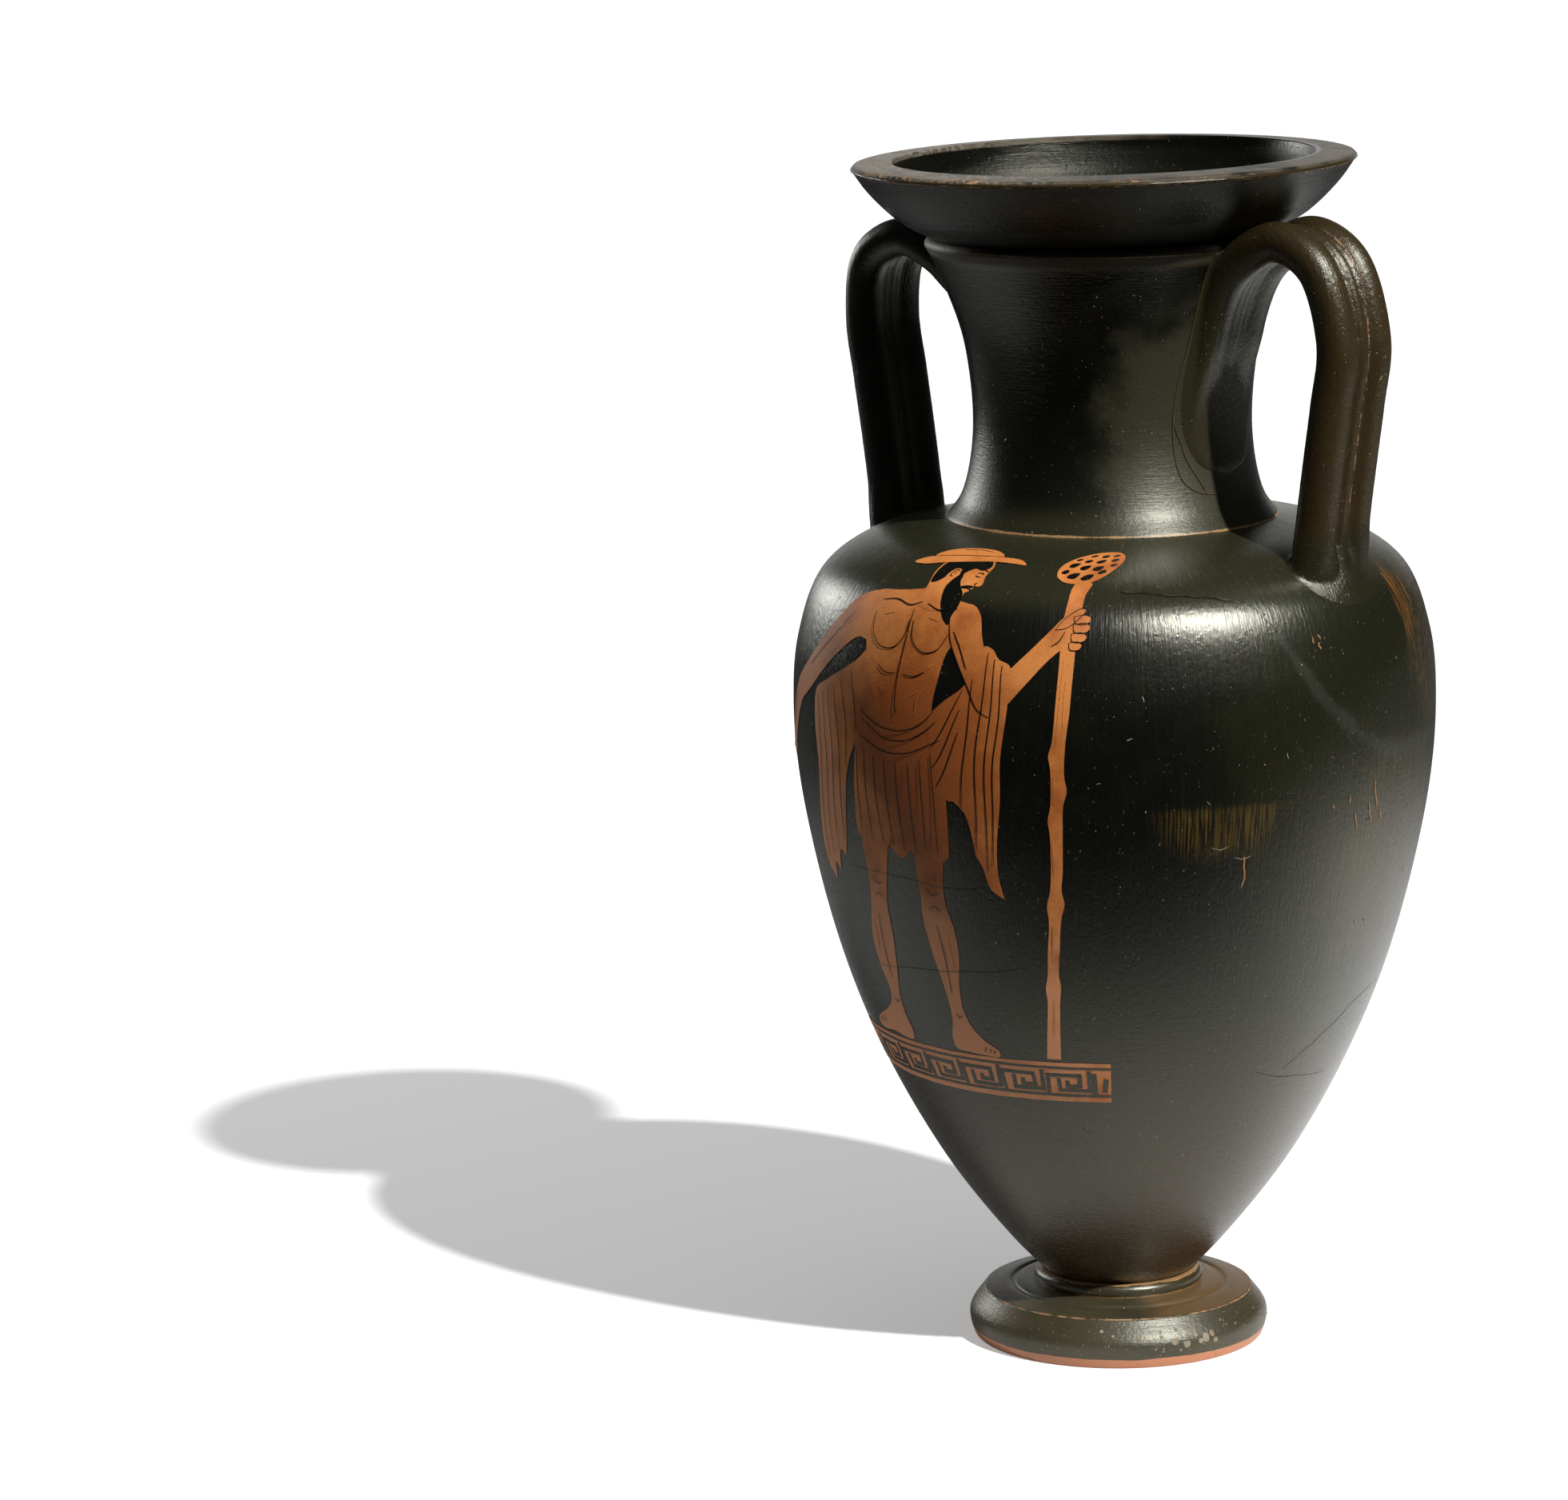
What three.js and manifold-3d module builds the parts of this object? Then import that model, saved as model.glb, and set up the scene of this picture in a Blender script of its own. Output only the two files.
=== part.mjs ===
// A neck amphora of fired clay, made of the pieces a potter throws, pulls and lutes together:
// a foot, a fillet ring, a hollow body, a neck and a flaring mouth, and two handles. Each handle
// is three rolls of clay side by side, with a root smeared down the neck and one on the shoulder.
// Millimetres, +Z up. The vessel's axis is Z and the foot rests on z = 0. The painted front
// faces -Y, and the right-hand handle stands in front of the +X axis.

import * as THREE from 'three';
import { mergeVertices } from 'three/addons/utils/BufferGeometryUtils.js';
import Module from 'manifold-3d';

// Clearance between pieces that are cut to one another, and the overrun of cutting bodies.
const seatGap = 0.3;
const cutOverrun = 10;
const latheSides = 48;

// Foot: a thick disc with a bulging side, a sharp upper edge and a hollow underside.
const footRadius = 42.8;
const footRestRadius = 41.6;
const footRestWidth = 6;
const footEdgeRadius = 38.5;
const footEdgeHeight = 13.4;
const footHeight = 15.5;
const footSeatRadius = 28;
const footHollowDepth = 8;

// Fillet ring round the joint of foot and body.
const filletRadius = 25.6;
const filletHeight = 3.8;

// Body: from its base on the foot to the flat seat under the neck.
const bodyBaseRadius = 21.6;
const bodyRadius = 91.1;
const bodyHeight = 223.3;
const bodyWall = 5.2;

// Neck: a waisted tube with a small raised edge at its top.
const neckBaseRadius = 47;
const neckWaistRadius = 39.4;
const neckTopRadius = 50.4;
const neckHeight = 79.7;
const neckWall = 4.5;
const neckEdgeHeight = 2;
const neckEdgeDepth = 1.2;

// Mouth: a convex flare, set in from the neck's edge, with a low fascia and a broad top that
// slopes outward.
const mouthBaseInset = 2;
const mouthRadius = 70.9;
const mouthHeight = 21.5;
const mouthFasciaHeight = 2.2;
const mouthTopFall = 0.6;
const lipWidth = 12;

// Handles: where they stand, how far in from the body's widest ring they reach, how far out from
// the neck they come down, how high they arch over the neck's top, and the section of their rolls.
const handleTurn = THREE.MathUtils.degToRad(37.5);
const handleInset = 8;
const handleRootDistance = 27.5;
const rightArchLift = 0.5;
const leftArchLift = -3.5;
const rollHalfWidth = 5.35;
const rollHalfThickness = 5.6;
const ridgeHalfWidth = 2.2;
const ridgeHalfThickness = 4.4;

// Roots: the clay smeared from the handle down the neck and out over the shoulder.
const neckRootLength = 66;
const neckRootThickness = 5.2;
const neckRootHalfWidth = 17.8;
const shoulderRootReach = 3;
const shoulderRootThickness = 1.8;

// Heights of the seats, from the foot upward.
const bodyBaseZ = footHeight;
const neckBaseZ = bodyBaseZ + bodyHeight;
const mouthBaseZ = neckBaseZ + neckHeight;
const rimZ = mouthBaseZ + mouthHeight;

const wasm = await Module();
wasm.setup();

const blackGloss = (name) => new THREE.MeshStandardMaterial({
  name, color: 0x1c1b16, roughness: 0.34, metalness: 0,
});
const amphora = new THREE.Group();
amphora.name = 'neck_amphora';

function addPiece(parent, name, geometry) {
  const mesh = new THREE.Mesh(geometry, blackGloss(`${name}_gloss`));
  mesh.name = name;
  parent.add(mesh);
}

// Outlines are lists of [radius, height].
function smooth(points, stepsPerSpan) {
  const knots = points.map(([r, z]) => new THREE.Vector3(r, 0, z));
  const curve = new THREE.CatmullRomCurve3(knots, false, 'centripetal');
  return curve.getPoints(stepsPerSpan * (points.length - 1)).map((p) => [p.x, p.z]);
}

// Moves each point of an outline that runs upward sideways, outward for a positive distance.
function offset(outline, distance) {
  return outline.map(([r, z], i) => {
    const [r0, z0] = outline[Math.max(i - 1, 0)];
    const [r1, z1] = outline[Math.min(i + 1, outline.length - 1)];
    const length = Math.hypot(r1 - r0, z1 - z0);
    return [r + (distance * (z1 - z0)) / length, z - (distance * (r1 - r0)) / length];
  });
}

function lathe(outline) {
  const points = outline.map(([r, z]) => new THREE.Vector2(Math.max(r, 0), z));
  return new THREE.LatheGeometry(points, latheSides).rotateX(Math.PI / 2);
}

function toSolid(geometry) {
  const bare = geometry.clone();
  bare.deleteAttribute('normal');
  bare.deleteAttribute('uv');
  const merged = mergeVertices(bare);
  const triVerts = [];
  for (let i = 0; i < merged.index.count; i += 3) {
    const [a, b, c] = [0, 1, 2].map((k) => merged.index.getX(i + k));
    if (a !== b && b !== c && c !== a) triVerts.push(a, b, c);
  }
  return new wasm.Manifold(new wasm.Mesh({
    numProp: 3,
    vertProperties: merged.attributes.position.array,
    triVerts: Uint32Array.from(triVerts),
  }));
}

function toGeometry(solid) {
  const mesh = solid.getMesh();
  const geometry = new THREE.BufferGeometry();
  geometry.setAttribute('position', new THREE.BufferAttribute(mesh.vertProperties, 3));
  geometry.setIndex(new THREE.BufferAttribute(mesh.triVerts, 1));
  geometry.computeVertexNormals();
  return geometry;
}

// Body outline as shares of its radius and height, between the base and the neck seat.
const bodyOutlineShares = [
  [0.346, 0.065], [0.552, 0.177], [0.738, 0.316], [0.877, 0.468], [0.977, 0.647],
  [1, 0.768], [0.981, 0.853], [0.9045, 0.934], [0.76, 0.976],
];
const bodyOutline = [
  [bodyBaseRadius, bodyBaseZ],
  ...smooth([
    [bodyBaseRadius, bodyBaseZ + filletHeight],
    ...bodyOutlineShares.map(([r, h]) => [r * bodyRadius, bodyBaseZ + h * bodyHeight]),
    [neckBaseRadius, neckBaseZ],
  ], 2),
];

// Neck outline: shares of the way from the waist out to the base or the top, and of the height.
const neckFlareShares = [[0.42, 0.08], [0, 0.3], [0.22, 0.64], [0.8, 0.92]];
const neckFlareRadius = (share, height) => {
  const end = height < neckFlareShares[1][1] ? neckBaseRadius : neckTopRadius;
  return neckWaistRadius + share * (end - neckWaistRadius);
};
const neckOutline = [
  ...smooth([
    [neckBaseRadius, neckBaseZ],
    ...neckFlareShares.map(([s, h]) => [neckFlareRadius(s, h), neckBaseZ + h * neckHeight]),
    [neckTopRadius, mouthBaseZ - neckEdgeHeight],
  ], 2),
  [neckTopRadius - neckEdgeDepth, mouthBaseZ],
];

// Mouth outline: shares of the flare from its base to the lip, and of the height.
const mouthBaseRadius = neckTopRadius - mouthBaseInset;
const mouthFlareShares = [[0.42, 0.25], [0.796, 0.63]];
const mouthRadiusAt = (share) => mouthBaseRadius + share * (mouthRadius - mouthBaseRadius);
const fasciaZ = rimZ - mouthTopFall - mouthFasciaHeight;
const mouthOutline = [
  ...smooth([
    [mouthBaseRadius, mouthBaseZ],
    ...mouthFlareShares.map(([s, h]) => [mouthRadiusAt(s), mouthBaseZ + h * mouthHeight]),
    [mouthRadius - mouthTopFall, fasciaZ],
  ], 3),
  [mouthRadius, fasciaZ + mouthFasciaHeight / 2],
  [mouthRadius - mouthTopFall, rimZ - mouthTopFall],
];

// The whole outside as one solid, grown by the seat gap, trims whatever is set against it.
function vesselSolid(growth) {
  const outside = [...bodyOutline, ...neckOutline.slice(1), ...mouthOutline.slice(1)];
  return toSolid(lathe([[0, bodyBaseZ - growth], ...offset(outside, growth), [0, rimZ + growth]]));
}

function makeFoot() {
  const restInner = footRestRadius - footRestWidth;
  const side = smooth([
    [footRestRadius, 0],
    [footRadius, footEdgeHeight / 2],
    [footEdgeRadius, footEdgeHeight],
  ], 4);
  const hollow = smooth([
    [0, footHollowDepth],
    [restInner * 0.72, footHollowDepth * 0.8],
    [restInner, 0],
  ], 3);
  addPiece(amphora, 'foot', lathe([
    ...hollow, ...side, [footSeatRadius, footHeight], [0, footHeight],
  ]));
}

function makeFilletRing() {
  const inner = bodyBaseRadius + seatGap;
  const section = smooth([
    [filletRadius, bodyBaseZ],
    [filletRadius, bodyBaseZ + filletHeight * 0.55],
    [inner, bodyBaseZ + filletHeight],
  ], 3);
  const closing = [inner, bodyBaseZ];
  addPiece(amphora, 'foot_fillet_ring', lathe([closing, ...section, closing]));
}

function makeBody() {
  const hole = neckBaseRadius - neckWall;
  const inner = offset(bodyOutline, -bodyWall).filter((p, i) => i % 2 === 1 || i < 2);
  const floorZ = bodyBaseZ + bodyWall + filletHeight;
  const inside = inner.filter(([r, z]) => r > hole || z < neckBaseZ - bodyHeight / 2)
    .filter(([, z]) => z > floorZ).reverse();
  addPiece(amphora, 'body', lathe([
    [0, bodyBaseZ], ...bodyOutline, [hole, neckBaseZ], [hole, neckBaseZ - bodyWall],
    ...inside, [0, floorZ],
  ]));
}

function makeNeck() {
  const inside = neckOutline.filter((p, i) => i % 2 === 0 || i === neckOutline.length - 1)
    .map(([r, z]) => [r - neckWall, z]).reverse();
  addPiece(amphora, 'neck', lathe([...neckOutline, ...inside, neckOutline[0]]));
}

function makeMouth() {
  const rimInner = mouthRadius - lipWidth;
  const throat = neckTopRadius - neckEdgeDepth - neckWall;
  const inside = smooth([
    [rimInner, rimZ],
    [rimInner - (rimInner - throat) * 0.14, rimZ - mouthHeight * 0.2],
    [rimInner - (rimInner - throat) * 0.55, rimZ - mouthHeight * 0.6],
    [throat, mouthBaseZ],
  ], 2);
  addPiece(amphora, 'mouth', lathe([...mouthOutline, ...inside, mouthOutline[0]]));
}

// Height of the shoulder at a radius, read off the body outline above its widest ring.
const widestRing = bodyOutline.reduce((best, p, i) => (p[0] > bodyOutline[best][0] ? i : best), 0);
function shoulderZ(radius) {
  for (let i = widestRing; i < bodyOutline.length - 1; i += 1) {
    const [r0, z0] = bodyOutline[i];
    const [r1, z1] = bodyOutline[i + 1];
    if (r1 <= radius) return z0 + ((z1 - z0) * (r0 - radius)) / (r0 - r1);
  }
  return neckBaseZ;
}

const rollOffset = ridgeHalfWidth + seatGap + rollHalfWidth;
const handleHalfWidth = rollOffset + rollHalfWidth;
const handleReach = bodyRadius - handleInset;
const handleRootRadius = neckBaseRadius + handleRootDistance;

// Each handle is drawn in its own upright plane, X outward, and turned about the axis after.
// Its centreline leaves the neck under the mouth, arches over and comes down on the shoulder.
function handleCentreline(archZ) {
  const footZ = shoulderZ(handleRootRadius);
  const archShares = [[-0.2, 0.91], [0.1, 0.965], [0.475, 1], [0.85, 0.925]];
  const legShares = [[0, 0.71], [0.27, 0.51], [0.6, 0.3], [0.85, 0.12], [1, -0.08]];
  const outward = (share) => neckTopRadius + share * (handleReach - neckTopRadius);
  const inward = (share) => handleReach - share * (handleReach - handleRootRadius);
  const upward = (share) => footZ + share * (archZ - footZ);
  const knots = [
    ...archShares.map(([s, h]) => new THREE.Vector3(outward(s), 0, upward(h))),
    ...legShares.map(([s, h]) => new THREE.Vector3(inward(s), 0, upward(h))),
  ];
  return new THREE.CatmullRomCurve3(knots, false, 'centripetal');
}

function makeRoll(centreline, side, halfWidth, halfThickness, quarterPoints) {
  const section = new THREE.Shape();
  section.absellipse(0, 0, halfWidth, halfThickness, 0, 2 * Math.PI);
  const roll = new THREE.ExtrudeGeometry(section, {
    steps: 30, curveSegments: 2 * quarterPoints, bevelEnabled: false, extrudePath: centreline,
  });
  return roll.translate(0, side, 0);
}

// Root on the neck: a tongue of clay, thick under the arch, thin and rounded at its lower end.
function neckRoot(growth) {
  const bottomZ = mouthBaseZ - neckRootLength;
  const widthShares = [[0.02, 0], [0.72, 0.08], [0.98, 0.24], [1, 0.4], [0.86, 0.68], [0.76, 1]];
  const edge = smooth(widthShares.map(([w, h]) => [
    w * neckRootHalfWidth + growth, bottomZ - growth + h * (neckRootLength - seatGap + 2 * growth),
  ]), 2);
  const tongue = new THREE.Shape([...edge, ...edge.map(([w, z]) => [-w, z]).reverse()]
    .map(([w, z]) => new THREE.Vector2(w, z)));
  const slab = new THREE.ExtrudeGeometry(tongue, {
    depth: neckTopRadius + neckRootThickness + cutOverrun, bevelEnabled: false,
  });
  // The outline's width lies along Y and its height along Z, and the slab runs out along X.
  slab.rotateX(Math.PI / 2).rotateZ(Math.PI / 2);
  const thickness = (z) => {
    const share = THREE.MathUtils.clamp((z - bottomZ) / neckRootLength, 0, 1);
    return neckRootThickness * (0.17 + 0.1 * share + 0.73 * share ** 6) + growth;
  };
  const skin = neckOutline.map(([r, z]) => [r + thickness(z), z]);
  const shell = toSolid(lathe([
    [0, neckBaseZ], ...skin, [skin.at(-1)[0], mouthBaseZ + growth], [0, mouthBaseZ + growth],
  ]));
  return toSolid(slab).intersect(shell);
}

// Root on the shoulder: a low oval collar round the lower end of the rolls.
function shoulderRoot(growth) {
  const oval = new THREE.Shape();
  oval.absellipse(
    handleRootRadius, 0,
    rollHalfThickness + shoulderRootReach + growth,
    handleHalfWidth + shoulderRootReach + growth, 0, 2 * Math.PI,
  );
  const widestZ = bodyOutline[widestRing][1];
  const column = new THREE.ExtrudeGeometry(oval, {
    depth: neckBaseZ + cutOverrun - widestZ, curveSegments: 12, bevelEnabled: false,
  }).translate(0, 0, widestZ);
  const raised = offset(bodyOutline, shoulderRootThickness + growth);
  const mound = toSolid(lathe([[0, bodyBaseZ], ...raised, [0, raised.at(-1)[1]]]));
  return toSolid(column).intersect(mound);
}

function makeHandle(side, azimuth, archLift) {
  const handle = new THREE.Group();
  handle.name = `${side}_handle`;
  handle.rotation.z = azimuth;
  amphora.add(handle);

  const vessel = vesselSolid(seatGap).rotate(0, 0, -THREE.MathUtils.radToDeg(azimuth));
  const neckSeat = neckRoot(seatGap);
  const shoulderSeat = shoulderRoot(seatGap);
  addPiece(handle, `${side}_handle_neck_root`, toGeometry(neckRoot(0).subtract(vessel)));
  addPiece(handle, `${side}_handle_shoulder_root`, toGeometry(shoulderRoot(0).subtract(vessel)));

  // Seen from the painted front, the front roll is the nearer one of the outer two.
  const toFront = Math.cos(azimuth) > 0 ? -1 : 1;
  const centreline = handleCentreline(mouthBaseZ + archLift);
  const rolls = [
    ['front_roll', toFront * rollOffset, rollHalfWidth, rollHalfThickness, 3],
    ['centre_ridge', 0, ridgeHalfWidth, ridgeHalfThickness, 2],
    ['back_roll', -toFront * rollOffset, rollHalfWidth, rollHalfThickness, 3],
  ];
  for (const [name, offsetY, halfWidth, halfThickness, quarterPoints] of rolls) {
    const roll = toSolid(makeRoll(centreline, offsetY, halfWidth, halfThickness, quarterPoints));
    const trimmed = roll.subtract(vessel).subtract(neckSeat).subtract(shoulderSeat);
    addPiece(handle, `${side}_handle_${name}`, toGeometry(trimmed));
  }
}

makeFoot();
makeFilletRing();
makeBody();
makeNeck();
makeMouth();
makeHandle('right', -handleTurn, rightArchLift);
makeHandle('left', Math.PI - handleTurn, leftArchLift);

export default amphora;
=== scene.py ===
"""A neck amphora of fired clay, painted in the red-figure technique.

The CAD model gives the frame. Here each thrown piece is turned again with a finer outline, each
handle becomes one pulled strap with its roots smeared on, and the painted figure, its ground
line and the wear of the black gloss, with painted highlights along its cracks, are laid on the
surface. Sizes below are in millimetres and are turned into metres where a mesh is made.
"""
import math
import random

import bpy
import numpy as np
from mathutils import Matrix, Vector, geometry, noise


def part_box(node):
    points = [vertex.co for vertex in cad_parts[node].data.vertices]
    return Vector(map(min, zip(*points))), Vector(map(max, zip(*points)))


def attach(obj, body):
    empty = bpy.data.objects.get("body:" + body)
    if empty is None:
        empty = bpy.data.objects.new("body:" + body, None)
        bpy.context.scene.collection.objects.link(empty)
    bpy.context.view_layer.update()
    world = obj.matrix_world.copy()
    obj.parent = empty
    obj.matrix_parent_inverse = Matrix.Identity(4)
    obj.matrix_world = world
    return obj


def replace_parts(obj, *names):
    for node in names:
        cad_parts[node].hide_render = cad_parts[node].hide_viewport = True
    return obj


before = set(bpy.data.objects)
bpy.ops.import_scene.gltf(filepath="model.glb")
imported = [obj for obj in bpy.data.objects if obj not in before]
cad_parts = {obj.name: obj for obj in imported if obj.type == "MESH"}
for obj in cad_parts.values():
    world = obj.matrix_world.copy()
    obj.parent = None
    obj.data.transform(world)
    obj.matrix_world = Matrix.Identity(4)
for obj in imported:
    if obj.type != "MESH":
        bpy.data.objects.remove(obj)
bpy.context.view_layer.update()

MM = 0.001
random.seed(7)


# Sizes: those of the CAD nodes, and the finer ones that only the scene has.

def extent(node):
    """Radius, lowest height and highest height of a turned CAD node, in millimetres."""
    low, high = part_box(node)
    return (high.x - low.x) / 2 / MM, low.z / MM, high.z / MM


FOOT_RADIUS, _, FOOT_TOP = extent("foot")
BODY_RADIUS, BODY_BASE, NECK_BASE = extent("body")
NECK_TOP_RADIUS, _, MOUTH_BASE = extent("neck")
MOUTH_RADIUS, _, RIM = extent("mouth")
FILLET_RADIUS, _, FILLET_TOP = extent("foot_fillet_ring")
BODY_HEIGHT = NECK_BASE - BODY_BASE
NECK_HEIGHT = MOUTH_BASE - NECK_BASE
MOUTH_HEIGHT = RIM - MOUTH_BASE

FOOT_REST_RADIUS, FOOT_REST_WIDTH = 41.6, 6.0
# The hollow under the foot: its depth, and where its roof turns down, as shares of its radius and
# its depth.
FOOT_HOLLOW, FOOT_HOLLOW_BEND = 8.0, (0.72, 0.8)
FOOT_BULGE = 6.7
FOOT_EDGE_RADIUS, FOOT_EDGE = 38.5, 13.4
FOOT_GROOVE_RADIUS, FOOT_GROOVE_REACH = 30.5, 1.2
# Heights of the groove's outer edge, its bottom and its inner edge.
FOOT_GROOVE_HEIGHTS = (14.75, 14.3, 15.0)
FOOT_FLAT_RADIUS = 27
FOOT_BARE = 2.8
BODY_BASE_RADIUS, BODY_WALL = 21.6, 5.2
FILLET_TUCK = 1.5
# The ring's outer side, from its bulge outward and from the foot's top upward.
FILLET_SECTION = [(-0.5, -0.3), (0, 1.2), (-0.2, 2.6), (-1.1, 3.5)]
NECK_BASE_RADIUS, NECK_WAIST_RADIUS, NECK_WALL = 47.0, 39.4, 4.5
NECK_EDGE_HEIGHT, NECK_EDGE_DEPTH = 2.0, 1.2
MOUTH_BASE_RADIUS = 48.4
MOUTH_FASCIA, MOUTH_TOP_FALL = 1.8, 0.6
# The lip's flat top, and points of its rounded edge, inward and down from where the two meet.
LIP_WIDTH, LIP_ROUND = 11.6, [(0.1, 1.0), (0.9, 0.1)]
LATHE_SIDES = 288

# Outlines from base to top, as shares of the radius, or of the flare, and of the height.
BODY_SHARES = [
    (0.346, 0.065), (0.552, 0.177), (0.738, 0.316), (0.877, 0.468), (0.977, 0.647),
    (1, 0.768), (0.981, 0.853), (0.9045, 0.934), (0.76, 0.976),
]
NECK_LOW_SHARES, NECK_HIGH_SHARES = [(0.42, 0.08)], [(0, 0.3), (0.22, 0.64), (0.8, 0.92)]
MOUTH_SHARES = [(0.42, 0.25), (0.796, 0.63)]
# The mouth's inner wall from the rim down.
MOUTH_INSIDE = [(0.06, -0.2), (0.16, -0.42), (0.38, -0.62), (0.7, -0.82)]

HANDLE_TURN = math.radians(37.5)
HANDLE_REACH = BODY_RADIUS - 8.0
HANDLE_ROOT_RADIUS = NECK_BASE_RADIUS + 27.5
ARCH_LIFT = {"right": 0.5, "left": -3.5}
HANDLE_ARCH = [(-0.06, 0.885), (0.1, 0.94), (0.475, 1), (0.85, 0.925)]
HANDLE_LEG = [(0, 0.71), (0.27, 0.51), (0.6, 0.3), (0.85, 0.12), (1, -0.08)]
# Below the arch the strap lies on the neck, this far inside its skin, from these heights up, and
# it goes no deeper into the neck's wall than STRAP_DEEPEST.
STRAP_ON_NECK, STRAP_SUNK, STRAP_DEEPEST = (268.0, 280.0, 290.0, 299.0), 1.2, 2.8
# Half of the strap's section, as [across, thickness]: outer face first, edge, inner face.
STRAP_HALF = [
    (0, 4.5), (1.3, 4.1), (2.3, 2.3), (3.4, 3.4), (5.2, 5.2), (7.8, 5.8), (10.6, 5.2), (12.6, 3.1),
    (13.3, 0), (12.5, -3.0), (10.4, -5.0), (7.6, -5.5), (4.6, -4.5), (2.4, -3.4), (0, -4.3),
]
# Parts of the strap's run, from 0 on the neck to 1 in the shoulder. It lies pressed flat at first,
# to these shares of its thickness, most toward the wall. At the shoulder it widens, and its rolls
# merge into one root of this half thickness.
STRAP_RISES, STRAP_CLEARS = (0, 0.2), (0.13, 0.22)
STRAP_PRESSED_UNDER, STRAP_PRESSED_OVER = 0.06, 0.4
STRAP_WIDENS, STRAP_WIDER = (0.88, 1), 0.18
STRAP_MERGES, STRAP_ROOT = (0.9, 0.985), 5.7
TONGUE_LENGTH, TONGUE_HALF_WIDTH, TONGUE_THICKNESS = 66.0, 17.8, 5.2
TONGUE_SHARES = [(0.02, 0), (0.72, 0.08), (0.98, 0.24), (1, 0.4), (0.86, 0.68), (0.76, 1)]
TONGUE_SHIFT = {"right": 0.0, "left": -5.0}
# The tongue's sheet runs a little past its outline, to a share of its half width and to heights
# below its end and the mouth, and dips under the skin there. Its slab goes down into the wall.
TONGUE_PAST, TONGUE_BELOW, TONGUE_SHORT, TONGUE_SUNK, TONGUE_DEPTH = 1.12, 1.5, 2.2, 0.35, 2.2
# Shares: its thickness at its end and what that gains toward the mouth, where its sides and its
# end run out, and where the left handle's tongue bends aside.
TONGUE_THIN, TONGUE_GAIN = 0.17, 0.1
TONGUE_SIDES, TONGUE_END, TONGUE_BEND = (0.72, 1.06), (-0.02, 0.06), (0.3, 0.8)
APRON_HALF_WIDTH, APRON_UP, APRON_DOWN, APRON_HEIGHT = 18.5, 11.0, 16.5, 6.4
# Its highest point, up the shoulder from the strap's root, the power by which it falls away from
# there, how far it dips under the skin and how deep its slab goes.
APRON_APEX, APRON_FALL, APRON_SUNK, APRON_DEPTH = -1, 1.7, 0.25, 2.5
CLAY_VOXEL = 0.55

# The mouth was set on a little out of true: it leans left and its right side stands higher.
MOUTH_SHIFT = 2.0
MOUTH_TILT = math.radians(1.0)
LEAN_START = 285.0
# Unevenness of a hand-turned wall, how far apart its swells are, and the heights between which
# it sets in above the foot.
SWELL, SWELL_LENGTH, SWELL_FROM = 0.22, 42.0, (4, 30)


# Curves and meshes.

def smooth(points, steps):
    """Centripetal Catmull-Rom curve through points, with steps points in each span."""
    knots = np.array(points, float)
    knots = np.vstack([2 * knots[0] - knots[1], knots, 2 * knots[-1] - knots[-2]])
    curve = []
    for a, b, c, d in zip(knots, knots[1:], knots[2:], knots[3:]):
        ab, bc, cd = (max(np.linalg.norm(q - p), 1e-6) ** 0.5 for p, q in ((a, b), (b, c), (c, d)))
        leave = ((b - a) / ab - (c - a) / (ab + bc) + (c - b) / bc) * bc
        arrive = ((c - b) / bc - (d - b) / (bc + cd) + (d - c) / cd) * bc
        for t in np.arange(steps) / steps:
            curve.append(b + leave * t + (3 * (c - b) - 2 * leave - arrive) * t ** 2
                         + (2 * (b - c) + leave + arrive) * t ** 3)
    curve.append(knots[-2])
    return np.array(curve)


def closed(points, steps):
    """Closed smooth curve through points."""
    ring = smooth([points[-2], points[-1], *points, points[0], points[1]], steps)
    return ring[2 * steps:(len(points) + 2) * steps]


def between(shares, start, end, low, height):
    """Points [radius, height] from shares of the way between two radii and of a height."""
    return [(start + r * (end - start), low + h * height) for r, h in shares]


def ease(value, low, high):
    """0 below low, 1 above high, and an even S between them."""
    t = np.clip((np.asarray(value, float) - low) / (high - low), 0, 1)
    return t * t * (3 - 2 * t)


def by_hand(points):
    """Moves points as the potter's hand left them: slow swells, and the mouth out of true."""
    points = np.array(points, float)
    swells = np.array([noise.noise(Vector(p) / SWELL_LENGTH) for p in points])
    reach = np.maximum(np.hypot(points[:, 0], points[:, 1]), 20)
    grow = 1 + SWELL * swells * ease(points[:, 2], *SWELL_FROM) / reach
    lean = ease(points[:, 2], LEAN_START, MOUTH_BASE)
    points[:, 2] += lean * points[:, 0] * math.tan(MOUTH_TILT)
    points[:, 0] = points[:, 0] * grow - lean * MOUTH_SHIFT
    points[:, 1] *= grow
    return points


def add_mesh(name, points, faces, finish, crease=None, normals=None):
    mesh = bpy.data.meshes.new(name)
    mesh.from_pydata((by_hand(points) * MM).tolist(), [], [list(map(int, f)) for f in faces])
    mesh.validate()
    mesh.shade_smooth()
    if crease:
        mesh.set_sharp_from_angle(angle=math.radians(crease))
    if normals is not None:
        mesh.normals_split_custom_set_from_vertices(normals)
    return add_piece(name, mesh, finish)


def add_piece(name, mesh, finish):
    mesh.materials.append(finish)
    piece = bpy.data.objects.new(name, mesh)
    bpy.context.scene.collection.objects.link(piece)
    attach(piece, "root")
    return piece


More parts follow.
